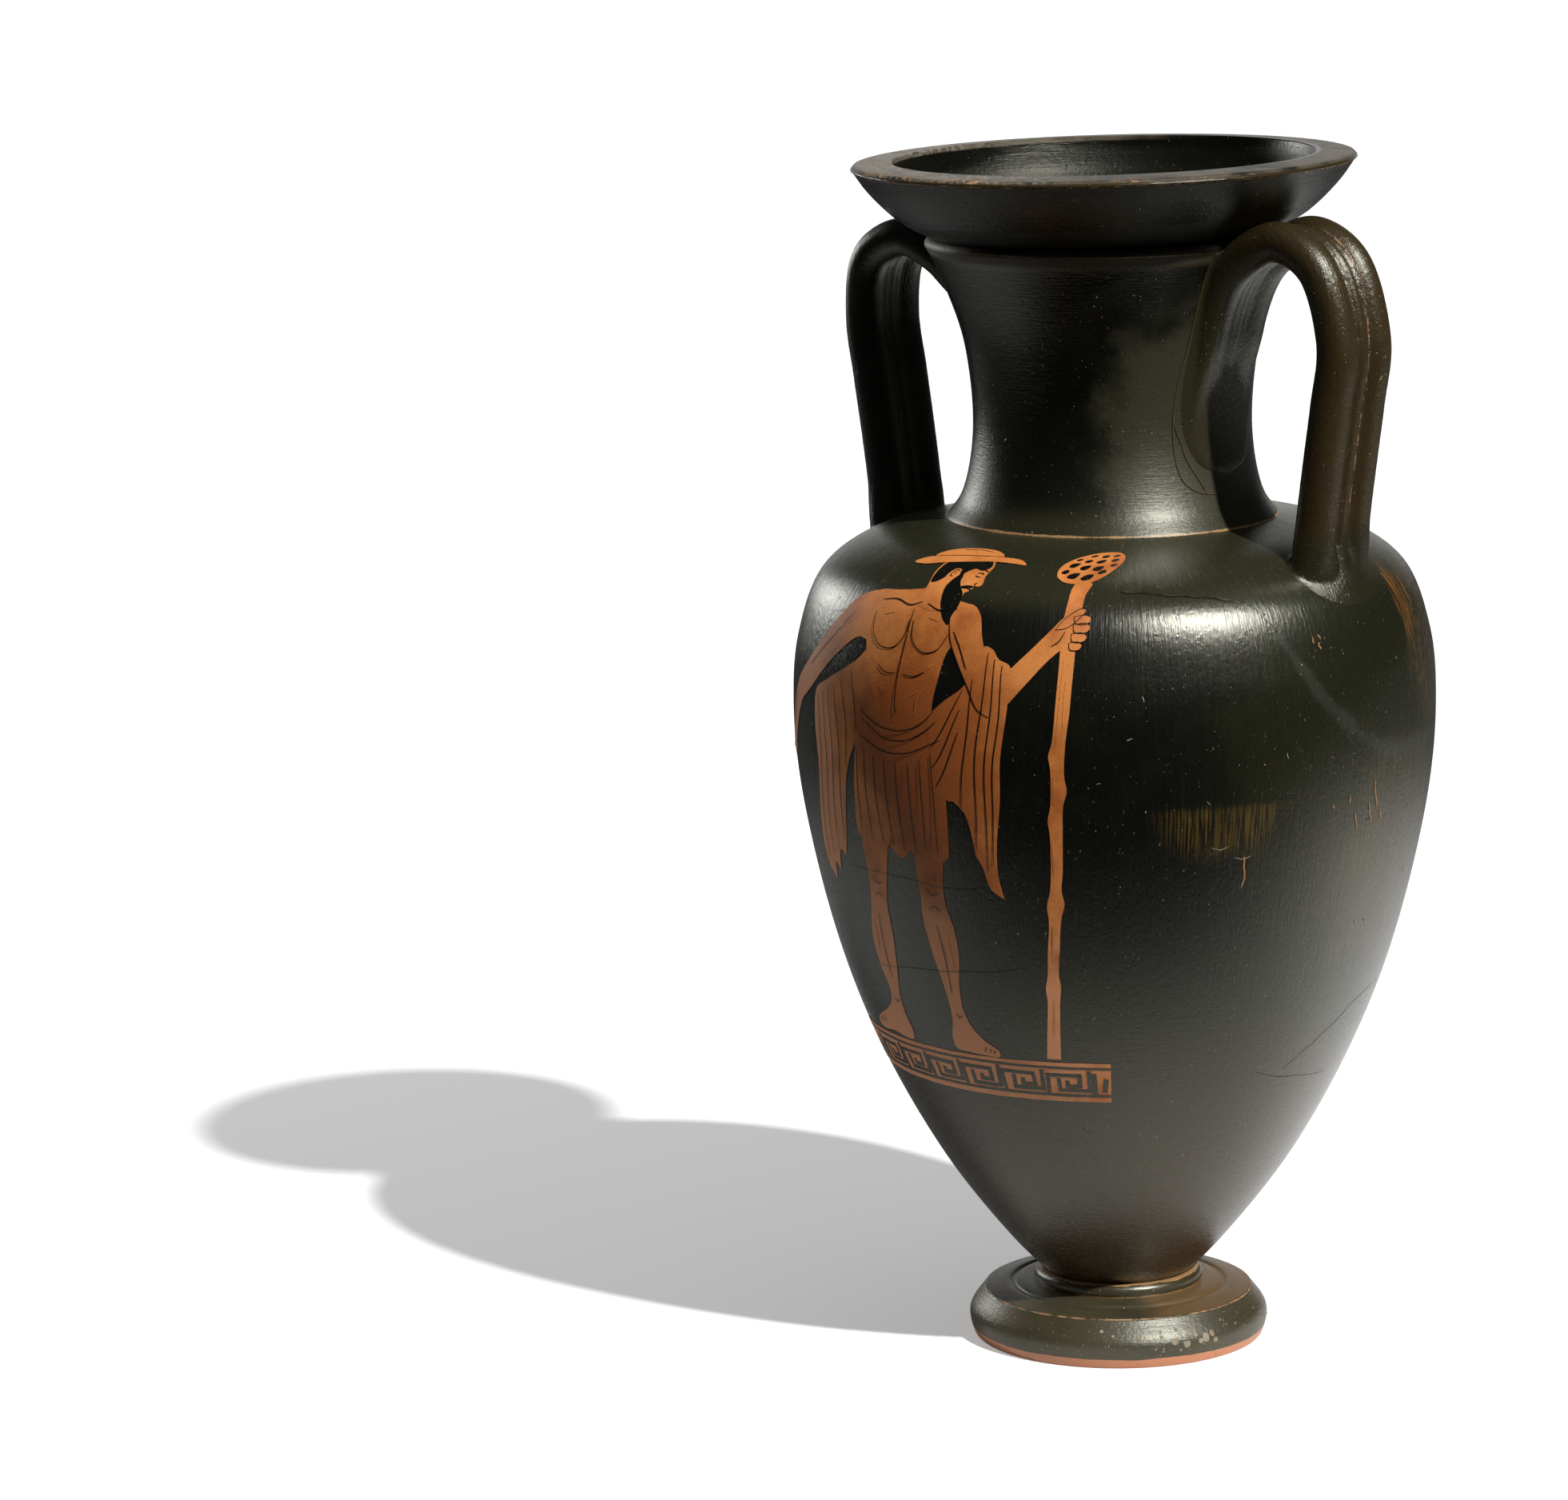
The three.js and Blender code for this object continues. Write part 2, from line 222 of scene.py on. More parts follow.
def add_turned(name, outline, finish, crease=40):
    """Turns an outline of [radius, height], closed or ending on the axis, about Z."""
    on_axis = [radius <= 0.01 for radius, _ in outline]
    turn = np.arange(LATHE_SIDES) * 2 * math.pi / LATHE_SIDES
    points, faces, starts = [], [], []
    for (radius, z), axis in zip(outline, on_axis):
        starts.append(len(points))
        points += [(0, 0, z)] if axis else [(radius * math.sin(a), -radius * math.cos(a), z) for a in turn]
    pairs = [(i, i + 1) for i in range(len(outline) - 1)]
    if not (on_axis[0] or on_axis[-1]):
        pairs.append((len(outline) - 1, 0))
    for i, j in pairs:
        low, high = starts[i], starts[j]
        for k in range(LATHE_SIDES):
            n = (k + 1) % LATHE_SIDES
            if on_axis[i]:
                faces.append((low, high + n, high + k))
            elif on_axis[j]:
                faces.append((low + k, low + n, high))
            else:
                faces.append((low + k, low + n, high + n, high + k))
    return add_mesh(name, points, faces, finish, crease=crease)


class Skin:
    """The outside of a turned piece as a sheet: distance up its outline, and turn about Z."""

    def __init__(self, outline):
        self.r, self.z = np.array(outline).T
        self.s = np.concatenate([[0], np.cumsum(np.hypot(np.diff(self.r), np.diff(self.z)))])
        slope = np.gradient(np.array(outline), axis=0)
        self.tilt = np.arctan2(-slope[:, 0], slope[:, 1])

    def up_to(self, z):
        return np.interp(z, self.z, self.s)

    def radius(self, s):
        return np.interp(s, self.s, self.r)

    def place(self, turn, s, lift):
        """Points and normals at a turn from -Y toward +X, a distance up, and a lift off."""
        tilt = np.interp(s, self.s, self.tilt)
        out = np.stack([np.sin(turn), -np.cos(turn), 0 * turn], 1)
        up = np.array([0, 0, 1])
        normal = out * np.cos(tilt)[:, None] + up * np.sin(tilt)[:, None]
        base = out * self.radius(s)[:, None] + up * np.interp(s, self.s, self.z)[:, None]
        return base + normal * np.reshape(lift, (-1, 1)), normal


foot_side = smooth([(FOOT_REST_RADIUS - 0.5, 0), (FOOT_REST_RADIUS, 0.4), (FOOT_RADIUS, FOOT_BULGE),
                    (FOOT_EDGE_RADIUS, FOOT_EDGE)], 12)
body_outline = smooth([(BODY_BASE_RADIUS, FILLET_TOP),
                       *between(BODY_SHARES, 0, BODY_RADIUS, BODY_BASE, BODY_HEIGHT),
                       (NECK_BASE_RADIUS, NECK_BASE)], 20)
neck_outline = smooth([
    (NECK_BASE_RADIUS, NECK_BASE),
    *between(NECK_LOW_SHARES, NECK_WAIST_RADIUS, NECK_BASE_RADIUS, NECK_BASE, NECK_HEIGHT),
    *between(NECK_HIGH_SHARES, NECK_WAIST_RADIUS, NECK_TOP_RADIUS, NECK_BASE, NECK_HEIGHT),
    (NECK_TOP_RADIUS, MOUTH_BASE - NECK_EDGE_HEIGHT)], 14)
fascia_z = RIM - MOUTH_TOP_FALL - MOUTH_FASCIA
mouth_outline = smooth([(MOUTH_BASE_RADIUS, MOUTH_BASE),
                        *between(MOUTH_SHARES, MOUTH_BASE_RADIUS, MOUTH_RADIUS, MOUTH_BASE, MOUTH_HEIGHT),
                        (MOUTH_RADIUS - MOUTH_TOP_FALL, fascia_z)], 12)
body_skin = Skin(body_outline)
neck_skin = Skin(neck_outline)


# Finishes.

class Nodes:
    """A node tree. Each method adds nodes, and all but node and feed give what comes out."""

    def __init__(self, tree):
        self.tree = tree

    def node(self, kind, *values, settings=None, **named):
        """A new node, with its settings, values for its first sockets, and for named ones."""
        node = self.tree.nodes.new("ShaderNode" + kind)
        for key, value in (settings or {}).items():
            setattr(node, key, value)
        for socket, value in zip(node.inputs, values):
            self.feed(socket, value)
        for key, value in named.items():
            self.feed(node.inputs[key], value)
        return node

    def feed(self, socket, value):
        if isinstance(value, bpy.types.NodeSocket):
            self.tree.links.new(value, socket)
        else:
            socket.default_value = value

    def math(self, operation, *values):
        return self.node("Math", *values, settings={"operation": operation}).outputs[0]

    def vector(self, operation, *values):
        return self.node("VectorMath", *values, settings={"operation": operation}).outputs[0]

    def gather(self, operation, values):
        whole = values[0]
        for value in values[1:]:
            whole = self.math(operation, whole, value)
        return whole

    def plus(self, *values):
        return self.gather("ADD", values)

    def minus(self, a, b):
        return self.math("SUBTRACT", a, b)

    def times(self, *values):
        return self.gather("MULTIPLY", values)

    def either(self, *shares):
        return self.gather("MAXIMUM", shares)

    def length(self, x, y):
        return self.math("SQRT", self.plus(self.math("POWER", x, 2.0), self.math("POWER", y, 2.0)))

    def band(self, value, low, high, start=0.0, end=1.0, kind="SMOOTHSTEP"):
        """Start below low, end above high; the other way round where low is the larger."""
        return self.node("MapRange", value, low, high, start, end,
                         settings={"interpolation_type": kind}).outputs[0]

    def window(self, value, low, high, edge):
        return self.times(self.band(value, low - edge, low + edge),
                          self.band(value, high + edge, high - edge))


class Finish(Nodes):
    """A material. Its layers share one set of coordinates, in millimetres, and one colour."""

    def __init__(self, name):
        self.material = bpy.data.materials.new(name)
        self.material.use_nodes = True
        super().__init__(self.material.node_tree)
        self.shader = self.tree.nodes["Principled BSDF"]
        self.place = self.stretch(self.node("TexCoord").outputs["Object"], 1 / MM, 1 / MM, 1 / MM)
        self.x, self.y, self.z = self.node("SeparateXYZ", self.place).outputs
        # Turn about Z from -Y toward +X.
        turn = self.math("ARCTAN2", self.x, self.times(self.y, -1))
        self.degrees = self.times(turn, 180 / math.pi)
        self.mottle = self.noise(self.place, *MOTTLE)
        self.rougher = 0.0

    def stretch(self, vector, x, y, z):
        return self.vector("MULTIPLY", vector, (x, y, z))

    def meridians(self, around, up):
        """Coordinates that run true round the vessel and up it, for grain."""
        flat = self.vector("NORMALIZE", self.stretch(self.place, 1, 1, 0))
        return self.vector("ADD", self.stretch(flat, around, around, 0), self.stretch(self.place, 0, 0, up))

    def noise(self, vector, scale, detail=3.0, roughness=0.55):
        return self.node("TexNoise", Vector=vector, Scale=scale, Detail=detail,
                         Roughness=roughness).outputs[0]

    def spot(self, turn, z, wide, tall, ragged=0.35):
        """An uneven round area about a turn in degrees and a height, with its half sizes."""
        x = self.math("DIVIDE", self.minus(self.degrees, turn), wide)
        y = self.math("DIVIDE", self.minus(self.z, z), tall)
        uneven = self.times(self.minus(self.mottle, 0.5), ragged * 3)
        return self.band(self.plus(self.length(x, y), uneven), 1.2, 0.65)

    def specks(self, size, rarity, seed, long=1.0, lean=0.0):
        """Small irregular spots of about size millimetres, or marks drawn out and leaning; rarity
        leaves out most cells."""
        place = self.node("Mapping", settings={"vector_type": "TEXTURE"}, Vector=self.place,
                          Location=(seed, seed * 0.7, seed * 0.3), Rotation=(lean, lean, 0),
                          Scale=(1, 1, long)).outputs[0]
        cells = self.node("TexVoronoi", Scale=1 / (size * 5), Randomness=1.0, Vector=place).outputs
        pick = self.node("SeparateColor", cells["Color"]).outputs
        near = self.plus(cells["Distance"], self.times(self.noise(self.place, 1.6 / size, 1), 0.12),
                         self.times(pick[1], 0.08))
        return self.times(self.band(near, 0.23, 0.15), self.band(pick[0], rarity, rarity + 0.01))

    def mix(self, share, a, b):
        node = self.node("Mix", share, settings={"data_type": "RGBA"})
        for socket, colour in ((node.inputs[6], a), (node.inputs[7], b)):
            self.feed(socket, (*colour, 1) if isinstance(colour, tuple) else colour)
        return node.outputs[2]

    def paint(self, tone, *shares):
        """Lays a tone over the colour so far, as strongly as the product of the shares."""
        self.colour = self.mix(self.times(*shares), self.colour, tone)

    def bumps(self, height, depth):
        return self.node("Bump", Height=height, Distance=depth * MM).outputs[0]

    def done(self, **inputs):
        """The material, with its colour and other inputs of its shader."""
        for key, value in {"Base_Color": self.colour, **inputs}.items():
            self.feed(self.shader.inputs[key.replace("_", " ")], value)
        return self.material


SLIP_BLACK = (0.0040, 0.0041, 0.0032)
SLIP_OLIVE = (0.0135, 0.0140, 0.0055)
SLIP_MATT = (0.027, 0.027, 0.013)
NECK_MATT = (0.052, 0.050, 0.030)
SMEAR_GREY = (0.040, 0.044, 0.032)
SLIP_BROWN = (0.044, 0.028, 0.009)
FOOT_BROWN = (0.062, 0.049, 0.024)
LOW_BROWN = (0.036, 0.021, 0.010)
LIP_BROWN = (0.115, 0.093, 0.062)
STREAK_YELLOW = (0.105, 0.062, 0.010)
STREAK_BROWN = (0.085, 0.052, 0.016)
FOOT_CLAY = (0.62, 0.235, 0.11)
RUST_BROWN = (0.14, 0.080, 0.032)
RUST = (0.34, 0.125, 0.022)
RUST_PALE = (0.46, 0.21, 0.07)
CRUST_GREY = (0.36, 0.32, 0.22)
CLAY = (0.80, 0.285, 0.066)
CLAY_DEEP = (0.40, 0.100, 0.017)
CLAY_ROSE = (0.92, 0.40, 0.19)
CLAY_PALE = (0.62, 0.31, 0.15)
DUST = (0.56, 0.50, 0.39)
RING_OCHRE = (0.42, 0.235, 0.10)
SLIP_TINT = (1.0, 0.985, 0.83, 1)

# Brush strokes run up the vessel and marks of the wheel round it: cells round it and up it. Below
# these heights the strokes give way to the wheel's marks.
STROKES, WHEEL_MARKS, TURNED_BELOW = (170.0, 0.07), (6.0, 2.4), (125.0, 95.0)
# Grains, for Finish.noise: cells per millimetre, octaves and roughness.
BRUSH_GRAIN, MOTTLE, CLOUD, LEATHER = (1.0, 4, 0.6), (0.09, 4, 0.6), (0.017, 4, 0.55), (0.75, 5, 0.66)
CLAY_GRAIN, CLAY_CLOUD, PEELING = (1.8, 3, 0.6), (0.05, 5, 0.6), (0.4, 5, 0.65)
RING_WEAR, FOOT_WEAR, HANDLE_WEAR = (0.22, 4, 0.7), (0.3, 4), (0.3, 5, 0.7)
LIP_DUST, LIP_CHIPS, LIP_WEAR = (0.6, 5, 0.7), (0.30, 5, 0.75), (0.5, 5, 0.7)
# Small marks, for Finish.specks: size, rarity, seed, length and lean.
BARE_SPOTS, BARE_RARE, DUST_SPOTS = (0.2, 0.88, 3.0), (0.34, 0.975, 5.0), (0.24, 0.89, 23.0)
FINE_SCRATCHES = [(0.13, 0.95, 11.0, 16, 0.5), (0.12, 0.96, 17.0, 20, -0.3)]
PITS, PITS_RARE = (0.45, 0.7, 7.0, 1.8, 0.9), (0.8, 0.975, 29.0, 1.5)
CLAY_MARKS = [(0.25, 0.90, 5.0), (0.13, 0.95, 13.0, 14, 0.4)]
CRUST_SPECKS = [(0.6, 0.7, 31.0), (0.3, 0.6, 37.0)]
# Places, for Finish.spot: turn, height, half width, half height and raggedness; in the two lists
# a strength comes last.
FOOT_RUSTY, FOOT_CRUSTED = (70, 15, 55, 20), (25, 7, 60, 6, 0.9)
BODY_THIN_FRONT, BODY_THIN_BACK = (54, 188, 36, 60), (-150, 180, 50, 60)
STREAKS_FRONT, STREAKS_BACK = (64, 150, 20, 34), (150, 150, 30, 30)
RUST_AREA, RUST_BRIGHT = (77, 204, 12, 25, 0.5), (69, 219, 4, 8, 0.6)
HALF_ROUND, HALF_ROUND_TOP = (18.6, 169, 11.5, 13.5, 0.15), (172, 169.5)
NECK_MATT_FRONT, NECK_MATT_BACK = (36, 262, 42, 40), (160, 265, 60, 30)
LIP_DUSTY = (-80, RIM, 70, 40)
STAINS = [(-35, 184, 17, 30, 0.9), (-30, 150, 12, 12, 0.5)]
# Painted light: where the picture's clay is painted lighter, for light thrown up from the floor.
PAINTED_LIGHT_AREAS = [(-55, 108, 60, 38, 0.9), (-70, 166, 14, 44, 0.85)]
# Heights between which the body turns matt under the neck, brown toward the foot, and the neck
# rough and matt at its base.
BODY_MATT, BODY_LOW, NECK_ROUGH, NECK_DULL = (221, 229), (120, 60), (276, 246), (250, 241)
# Where a handle turns olive, by its height and its distance out, and matt, toward the neck. Where
# its slip is worn: across it, the groove's edge and the roll beside it; out and up, the outside.
HANDLE_LOW, HANDLE_OUT, HANDLE_NEAR = (246, 234), (60, 66), (56, 50)
WORN_GROOVE, WORN_ROLL = (2.6, 3.0, 0.15), (5.6, 7.0, 0.5)
WORN_OUT, WORN_UP = (HANDLE_REACH - 14, HANDLE_REACH - 8), (244, 250)
# A matt smear on the body: its turns, its height where it ends, and how far it has fallen; how
# its edge fades, and how ragged it is.
SMEAR_FROM, SMEAR_TO = 30.0, 72.0
SMEAR_HEIGHT, SMEAR_FALL = 178.5, 41.0
SMEAR_EDGE, SMEAR_RAGGED = (4.6, 0.8), 9.0


def slip(name, thick, thin, share=0.4, grain="up", gloss=0.27, smear=0.0, rings=(), patches=None,
         worn=None, leathery=0.2, ior=1.85):
    """Black gloss, thick to thin where the brush ran dry, with pits, scratches and bare spots."""
    f = Finish(name)
    strokes = f.noise(f.meridians(*STROKES), *BRUSH_GRAIN)
    turned = f.noise(f.meridians(*WHEEL_MARKS), *BRUSH_GRAIN)
    low = f.band(f.z, *TURNED_BELOW) if grain == "up" else 1.0
    f.brush = f.plus(f.times(strokes, f.minus(1.0, low)), f.times(turned, low))
    leather = f.noise(f.place, *LEATHER)
    cloud = f.noise(f.place, *CLOUD)
    edge = 0.75 - 0.5 * share
    dry = f.plus(f.times(f.brush, 0.3), f.times(cloud, 0.7))
    f.colour = f.mix(f.band(dry, edge - 0.12, edge + 0.12), thick, thin)
    f.paint(thin, f.band(f.mottle, 0.45, 0.75), 0.3)
    if patches:
        patches(f)
    for z, width in rings:
        patchy = f.times(f.noise(f.place, *RING_WEAR), width * 2.6)
        away = f.minus(f.math("ABSOLUTE", f.minus(f.z, z)), patchy)
        f.paint(RING_OCHRE, f.band(away, -width * 0.45, -width * 0.85), 0.9)
    gathered = f.either(f.band(f.mottle, 0.40, 0.56), f.times(low, 0.55))
    bare = f.either(f.times(f.specks(*BARE_SPOTS), gathered), f.specks(*BARE_RARE))
    if worn:
        bare = f.either(bare, worn(f))
    f.paint(CLAY_PALE, bare, 0.85)
    scratches = (f.specks(*marks) for marks in FINE_SCRATCHES)
    dust = f.either(f.times(f.specks(*DUST_SPOTS), gathered), *scratches)
    f.paint(DUST, dust, 0.8)
    pits = f.either(f.times(f.specks(*PITS), gathered), f.specks(*PITS_RARE))
    f.paint(SLIP_BLACK, pits, 0.5)
    rough = f.plus(gloss - 0.03, f.times(f.brush, 0.10), f.times(f.either(bare, dust), 0.35), f.rougher)
    height = f.plus(f.times(f.brush, 0.40), f.times(leather, 0.60))
    height = f.minus(height, f.times(f.either(bare, pits), 0.7))
    brushed = {}
    if smear:
        tangent = f.node("Tangent", settings={"direction_type": "RADIAL", "axis": "Z"}).outputs[0]
        turned_by = 0.0 if grain == "up" else 0.25
        brushed = {"Tangent": tangent, "Anisotropic": smear, "Anisotropic_Rotation": turned_by}
    return f.done(Roughness=rough, IOR=ior, Specular_Tint=SLIP_TINT, Normal=f.bumps(height, leathery),
                  **brushed)


def clay(name, deep=0.4, rough=0.5, stains=(), painted_light=(), pale=CLAY, dark=CLAY_DEEP):
    """Bare or reserved clay: orange, mottled with darker patina and fine pits, and in the given places
    painted lighter and pinker as painted light.
    """
    f = Finish(name)
    grain = f.noise(f.place, *CLAY_GRAIN)
    f.colour = f.mix(f.band(f.noise(f.place, *CLAY_CLOUD), 0.38, 0.75), pale, dark)
    f.paint(dark, f.band(grain, 0.5, 0.75), deep)
    # Painted light first, in the rose tone, then the stains in the dark tone.
    for areas, tone in ((painted_light, CLAY_ROSE), (stains, dark)):
        for *area, strength in areas:
            f.paint(tone, f.spot(*area), strength)
    spots = f.either(*(f.specks(*marks) for marks in CLAY_MARKS))
    f.paint(SLIP_BROWN, spots, 0.6)
    height = f.minus(grain, f.times(spots, 0.8))
    return f.done(Roughness=rough, IOR=1.5, Normal=f.bumps(height, 0.09))


# The turned pieces.

def make_foot():
    rest_inner = FOOT_REST_RADIUS - FOOT_REST_WIDTH
    bend_out, bend_up = FOOT_HOLLOW_BEND
    hollow = smooth([(0.02, FOOT_HOLLOW), (rest_inner * bend_out, FOOT_HOLLOW * bend_up),
                     (rest_inner, 0.5), (rest_inner + 0.6, 0)], 10)
    outer_z, groove_z, inner_z = FOOT_GROOVE_HEIGHTS
    top = smooth([(FOOT_EDGE_RADIUS - 0.5, FOOT_EDGE + 0.25),
                  (FOOT_GROOVE_RADIUS + FOOT_GROOVE_REACH, outer_z), (FOOT_GROOVE_RADIUS, groove_z),
                  (FOOT_GROOVE_RADIUS - FOOT_GROOVE_REACH, inner_z), (FOOT_FLAT_RADIUS, FOOT_TOP)], 8)
    outline = [(0, FOOT_HOLLOW), *hollow[1:], *foot_side, *top, (0, FOOT_TOP)]

    def patches(f):
        f.paint(RUST_BROWN, f.band(f.z, FOOT_EDGE, FOOT_EDGE + 0.4), f.spot(*FOOT_RUSTY))
        bottom = f.plus(f.z, f.times(f.mottle, 0.9))
        f.paint(FOOT_CLAY, f.band(bottom, FOOT_BARE + 0.55, FOOT_BARE + 0.35))
        crust = f.either(*(f.specks(*marks) for marks in CRUST_SPECKS))
        f.paint(DUST, crust, f.spot(*FOOT_CRUSTED), 0.45)

    def worn(f):
        edge = f.window(f.z, FOOT_EDGE - 0.1, FOOT_EDGE + 0.12, 0.12)
        return f.times(edge, f.band(f.noise(f.place, *FOOT_WEAR), 0.4, 0.62))

    finish = slip("foot_slip", FOOT_BROWN, SLIP_MATT, 0.35, "round", 0.36, patches=patches, worn=worn)
    foot = add_turned("foot_turned", outline, finish, crease=35)
    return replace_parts(foot, "foot")


def make_fillet_ring():
    inner = BODY_BASE_RADIUS + 0.2
    bulge = FILLET_RADIUS - FILLET_TUCK
    side = [(bulge + out, FOOT_TOP + up) for out, up in FILLET_SECTION]
    section = smooth([*side, (inner, FILLET_TOP)], 6)
    rings = [(FILLET_TOP - 0.1, 0.4), (FOOT_TOP + 0.1, 0.5)]
    ring = add_turned("fillet_ring_turned", [(inner, side[0][1]), *section],
                      slip("fillet_slip", SLIP_BROWN, SLIP_MATT, 0.4, "round", 0.3, rings=rings))
    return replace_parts(ring, "foot_fillet_ring")


def inward(outline, distance):
    """Moves an outline that runs upward inward, square to itself."""
    step = np.gradient(outline, axis=0)
    step /= np.linalg.norm(step, axis=1)[:, None]
    return outline - distance * np.stack([step[:, 1], -step[:, 0]], 1)


def make_body():
    hole = NECK_BASE_RADIUS - NECK_WALL
    floor_z = FILLET_TOP + BODY_WALL
    inside = [p for p in inward(body_outline, BODY_WALL)[::4]
              if (p[0] > hole or p[1] < BODY_BASE + BODY_HEIGHT / 2) and p[1] > floor_z][::-1]
    outline = [(0, BODY_BASE + 0.2), (BODY_BASE_RADIUS, BODY_BASE + 0.2), *body_outline,
               (hole, NECK_BASE), (hole, NECK_BASE - BODY_WALL), *inside, (0, floor_z)]

    def patches(f):
        streaks = f.band(f.brush, 0.42, 0.60)
        f.paint(SLIP_OLIVE, f.spot(*BODY_THIN_FRONT), 0.9)
        f.paint(SLIP_OLIVE, f.spot(*BODY_THIN_BACK), 0.9)
        f.paint(SLIP_MATT, f.band(f.z, *BODY_MATT), 0.9)
        f.paint(LOW_BROWN, f.band(f.z, *BODY_LOW), 0.9)
        f.paint(STREAK_BROWN, f.spot(*STREAKS_FRONT), streaks, 0.6)
        f.paint(STREAK_BROWN, f.spot(*STREAKS_BACK), streaks, 0.9)
        leather = f.band(f.noise(f.place, *PEELING), 0.36, 0.56)
        f.paint(STREAK_BROWN, f.spot(*RUST_AREA), f.band(f.brush, 0.40, 0.56), leather, 0.8)
        f.paint(RUST, f.spot(*RUST_BRIGHT), f.band(f.brush, 0.50, 0.64), 0.85)
        f.paint(STREAK_YELLOW, f.spot(*HALF_ROUND), f.band(f.z, *HALF_ROUND_TOP),
                f.band(f.brush, 0.42, 0.62), 0.75)
        # The smear runs down from the right handle and then round the body.
        left = f.either(f.minus(SMEAR_TO, f.degrees), 0.0)
        left = f.math("DIVIDE", left, SMEAR_TO - SMEAR_FROM)
        height = f.plus(f.times(f.math("POWER", left, 3.0), SMEAR_FALL), SMEAR_HEIGHT)
        off = f.math("ABSOLUTE", f.minus(f.z, height))
        off = f.plus(off, f.times(f.minus(f.mottle, 0.5), SMEAR_RAGGED))
        f.paint(SMEAR_GREY, f.band(off, *SMEAR_EDGE), f.band(f.degrees, SMEAR_FROM - 4, SMEAR_FROM + 2),
                f.band(f.degrees, SMEAR_TO + 8, SMEAR_TO), 0.6)

    finish = slip("body_slip", SLIP_BLACK, SLIP_OLIVE, 0.25, "up", 0.25, 0.12,
                  rings=[(BODY_BASE + 1.2, 0.4)], patches=patches)
    body = add_turned("body_turned", outline, finish)
    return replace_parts(body, "body")


def make_neck():
    outside = [*neck_outline, (NECK_TOP_RADIUS - 0.1, MOUTH_BASE - 1.1),
               (NECK_TOP_RADIUS - 0.5, MOUTH_BASE - 0.5), (NECK_TOP_RADIUS - NECK_EDGE_DEPTH, MOUTH_BASE)]
    inside = [(r - NECK_WALL, z) for r, z in outside[::3]][::-1]

    def patches(f):
        f.paint(NECK_MATT, f.spot(*NECK_MATT_FRONT), 0.9)
        f.paint(NECK_MATT, f.spot(*NECK_MATT_BACK), 0.8)
        f.rougher = f.plus(f.times(f.band(f.z, *NECK_ROUGH), 0.18),
                           f.times(f.band(f.z, MOUTH_BASE - 6, MOUTH_BASE - 4), 0.35))
        f.paint(SLIP_BROWN, f.band(f.z, MOUTH_BASE - 6, MOUTH_BASE - 5), 0.6)
        f.paint(SLIP_MATT, f.band(f.z, *NECK_DULL), 0.8)

    neck = add_turned("neck_turned", [*outside, (outside[-1][0] - NECK_WALL, MOUTH_BASE), *inside],
                      slip("neck_slip", SLIP_BLACK, SLIP_OLIVE, 0.12, "round", 0.20, 0.5, leathery=0.18,
                           rings=[(NECK_BASE + 0.3, 0.34), (MOUTH_BASE - NECK_EDGE_HEIGHT, 0.22)],
                           patches=patches))
    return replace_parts(neck, "neck")


def make_mouth():
    rim_inner = MOUTH_RADIUS - LIP_WIDTH
    throat = NECK_TOP_RADIUS - NECK_EDGE_DEPTH - NECK_WALL
    lip = smooth([(MOUTH_RADIUS - MOUTH_TOP_FALL, fascia_z), (MOUTH_RADIUS, fascia_z + 0.5),
                  *((MOUTH_RADIUS - back, RIM - MOUTH_TOP_FALL - down) for back, down in LIP_ROUND)], 4)
    top = [(r, RIM - MOUTH_TOP_FALL * (r - rim_inner) / LIP_WIDTH)
           for r in np.linspace(MOUTH_RADIUS - 1.6, rim_inner + 0.35, 8)]
    inside = smooth([(rim_inner, RIM - 0.3), *between(MOUTH_INSIDE, rim_inner, throat, RIM, MOUTH_HEIGHT),
                     (throat, MOUTH_BASE)], 8)

    def patches(f):
        away = f.length(f.x, f.y)
        level = f.minus(f.z, f.times(f.x, math.tan(MOUTH_TILT)))
        f.lip = f.times(f.band(away, rim_inner - 1.2, rim_inner), f.band(level, RIM - 1.6, RIM - 0.9))
        fascia = f.times(f.band(level, fascia_z - 0.5, fascia_z),
                         f.band(away, rim_inner + 7, rim_inner + 9))
        f.low_edge = f.times(fascia, f.window(level, fascia_z - 0.1, fascia_z + 0.45, 0.15))
        f.top_edge = f.times(f.lip, f.band(away, MOUTH_RADIUS - 2.0, MOUTH_RADIUS - 1.2),
                             f.band(level, RIM - 1.35, RIM - 1.0))
        inner = f.times(f.band(away, rim_inner + 0.5, rim_inner - 0.5), f.band(level, RIM - 1, RIM - 5))
        f.rougher = f.plus(f.times(inner, 0.24), f.times(f.lip, 0.18))
        f.paint(LIP_BROWN, f.lip, f.band(f.mottle, 0.3, 0.6), 0.9)
        f.paint(DUST, f.lip, f.spot(*LIP_DUSTY), f.band(f.noise(f.place, *LIP_DUST), 0.40, 0.64), 0.4)
        f.paint(SLIP_BROWN, fascia, f.minus(1.0, f.lip), 0.85)

    def worn(f):
        chips = f.noise(f.place, *LIP_CHIPS)
        return f.either(f.times(f.low_edge, f.band(chips, 0.46, 0.56), 0.9),
                        f.times(f.top_edge, f.band(chips, 0.54, 0.62), 0.8),
                        f.times(f.lip, f.band(f.noise(f.place, *LIP_WEAR), 0.63, 0.67), 0.35))

    finish = slip("mouth_slip", SLIP_BLACK, SLIP_OLIVE, 0.1, "round", 0.16, patches=patches, worn=worn,
                  leathery=0.28, ior=1.5)
    mouth = add_turned("mouth_turned", [*mouth_outline, *lip[1:], *top, *inside], finish, crease=35)
    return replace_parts(mouth, "mouth")


# Handles.

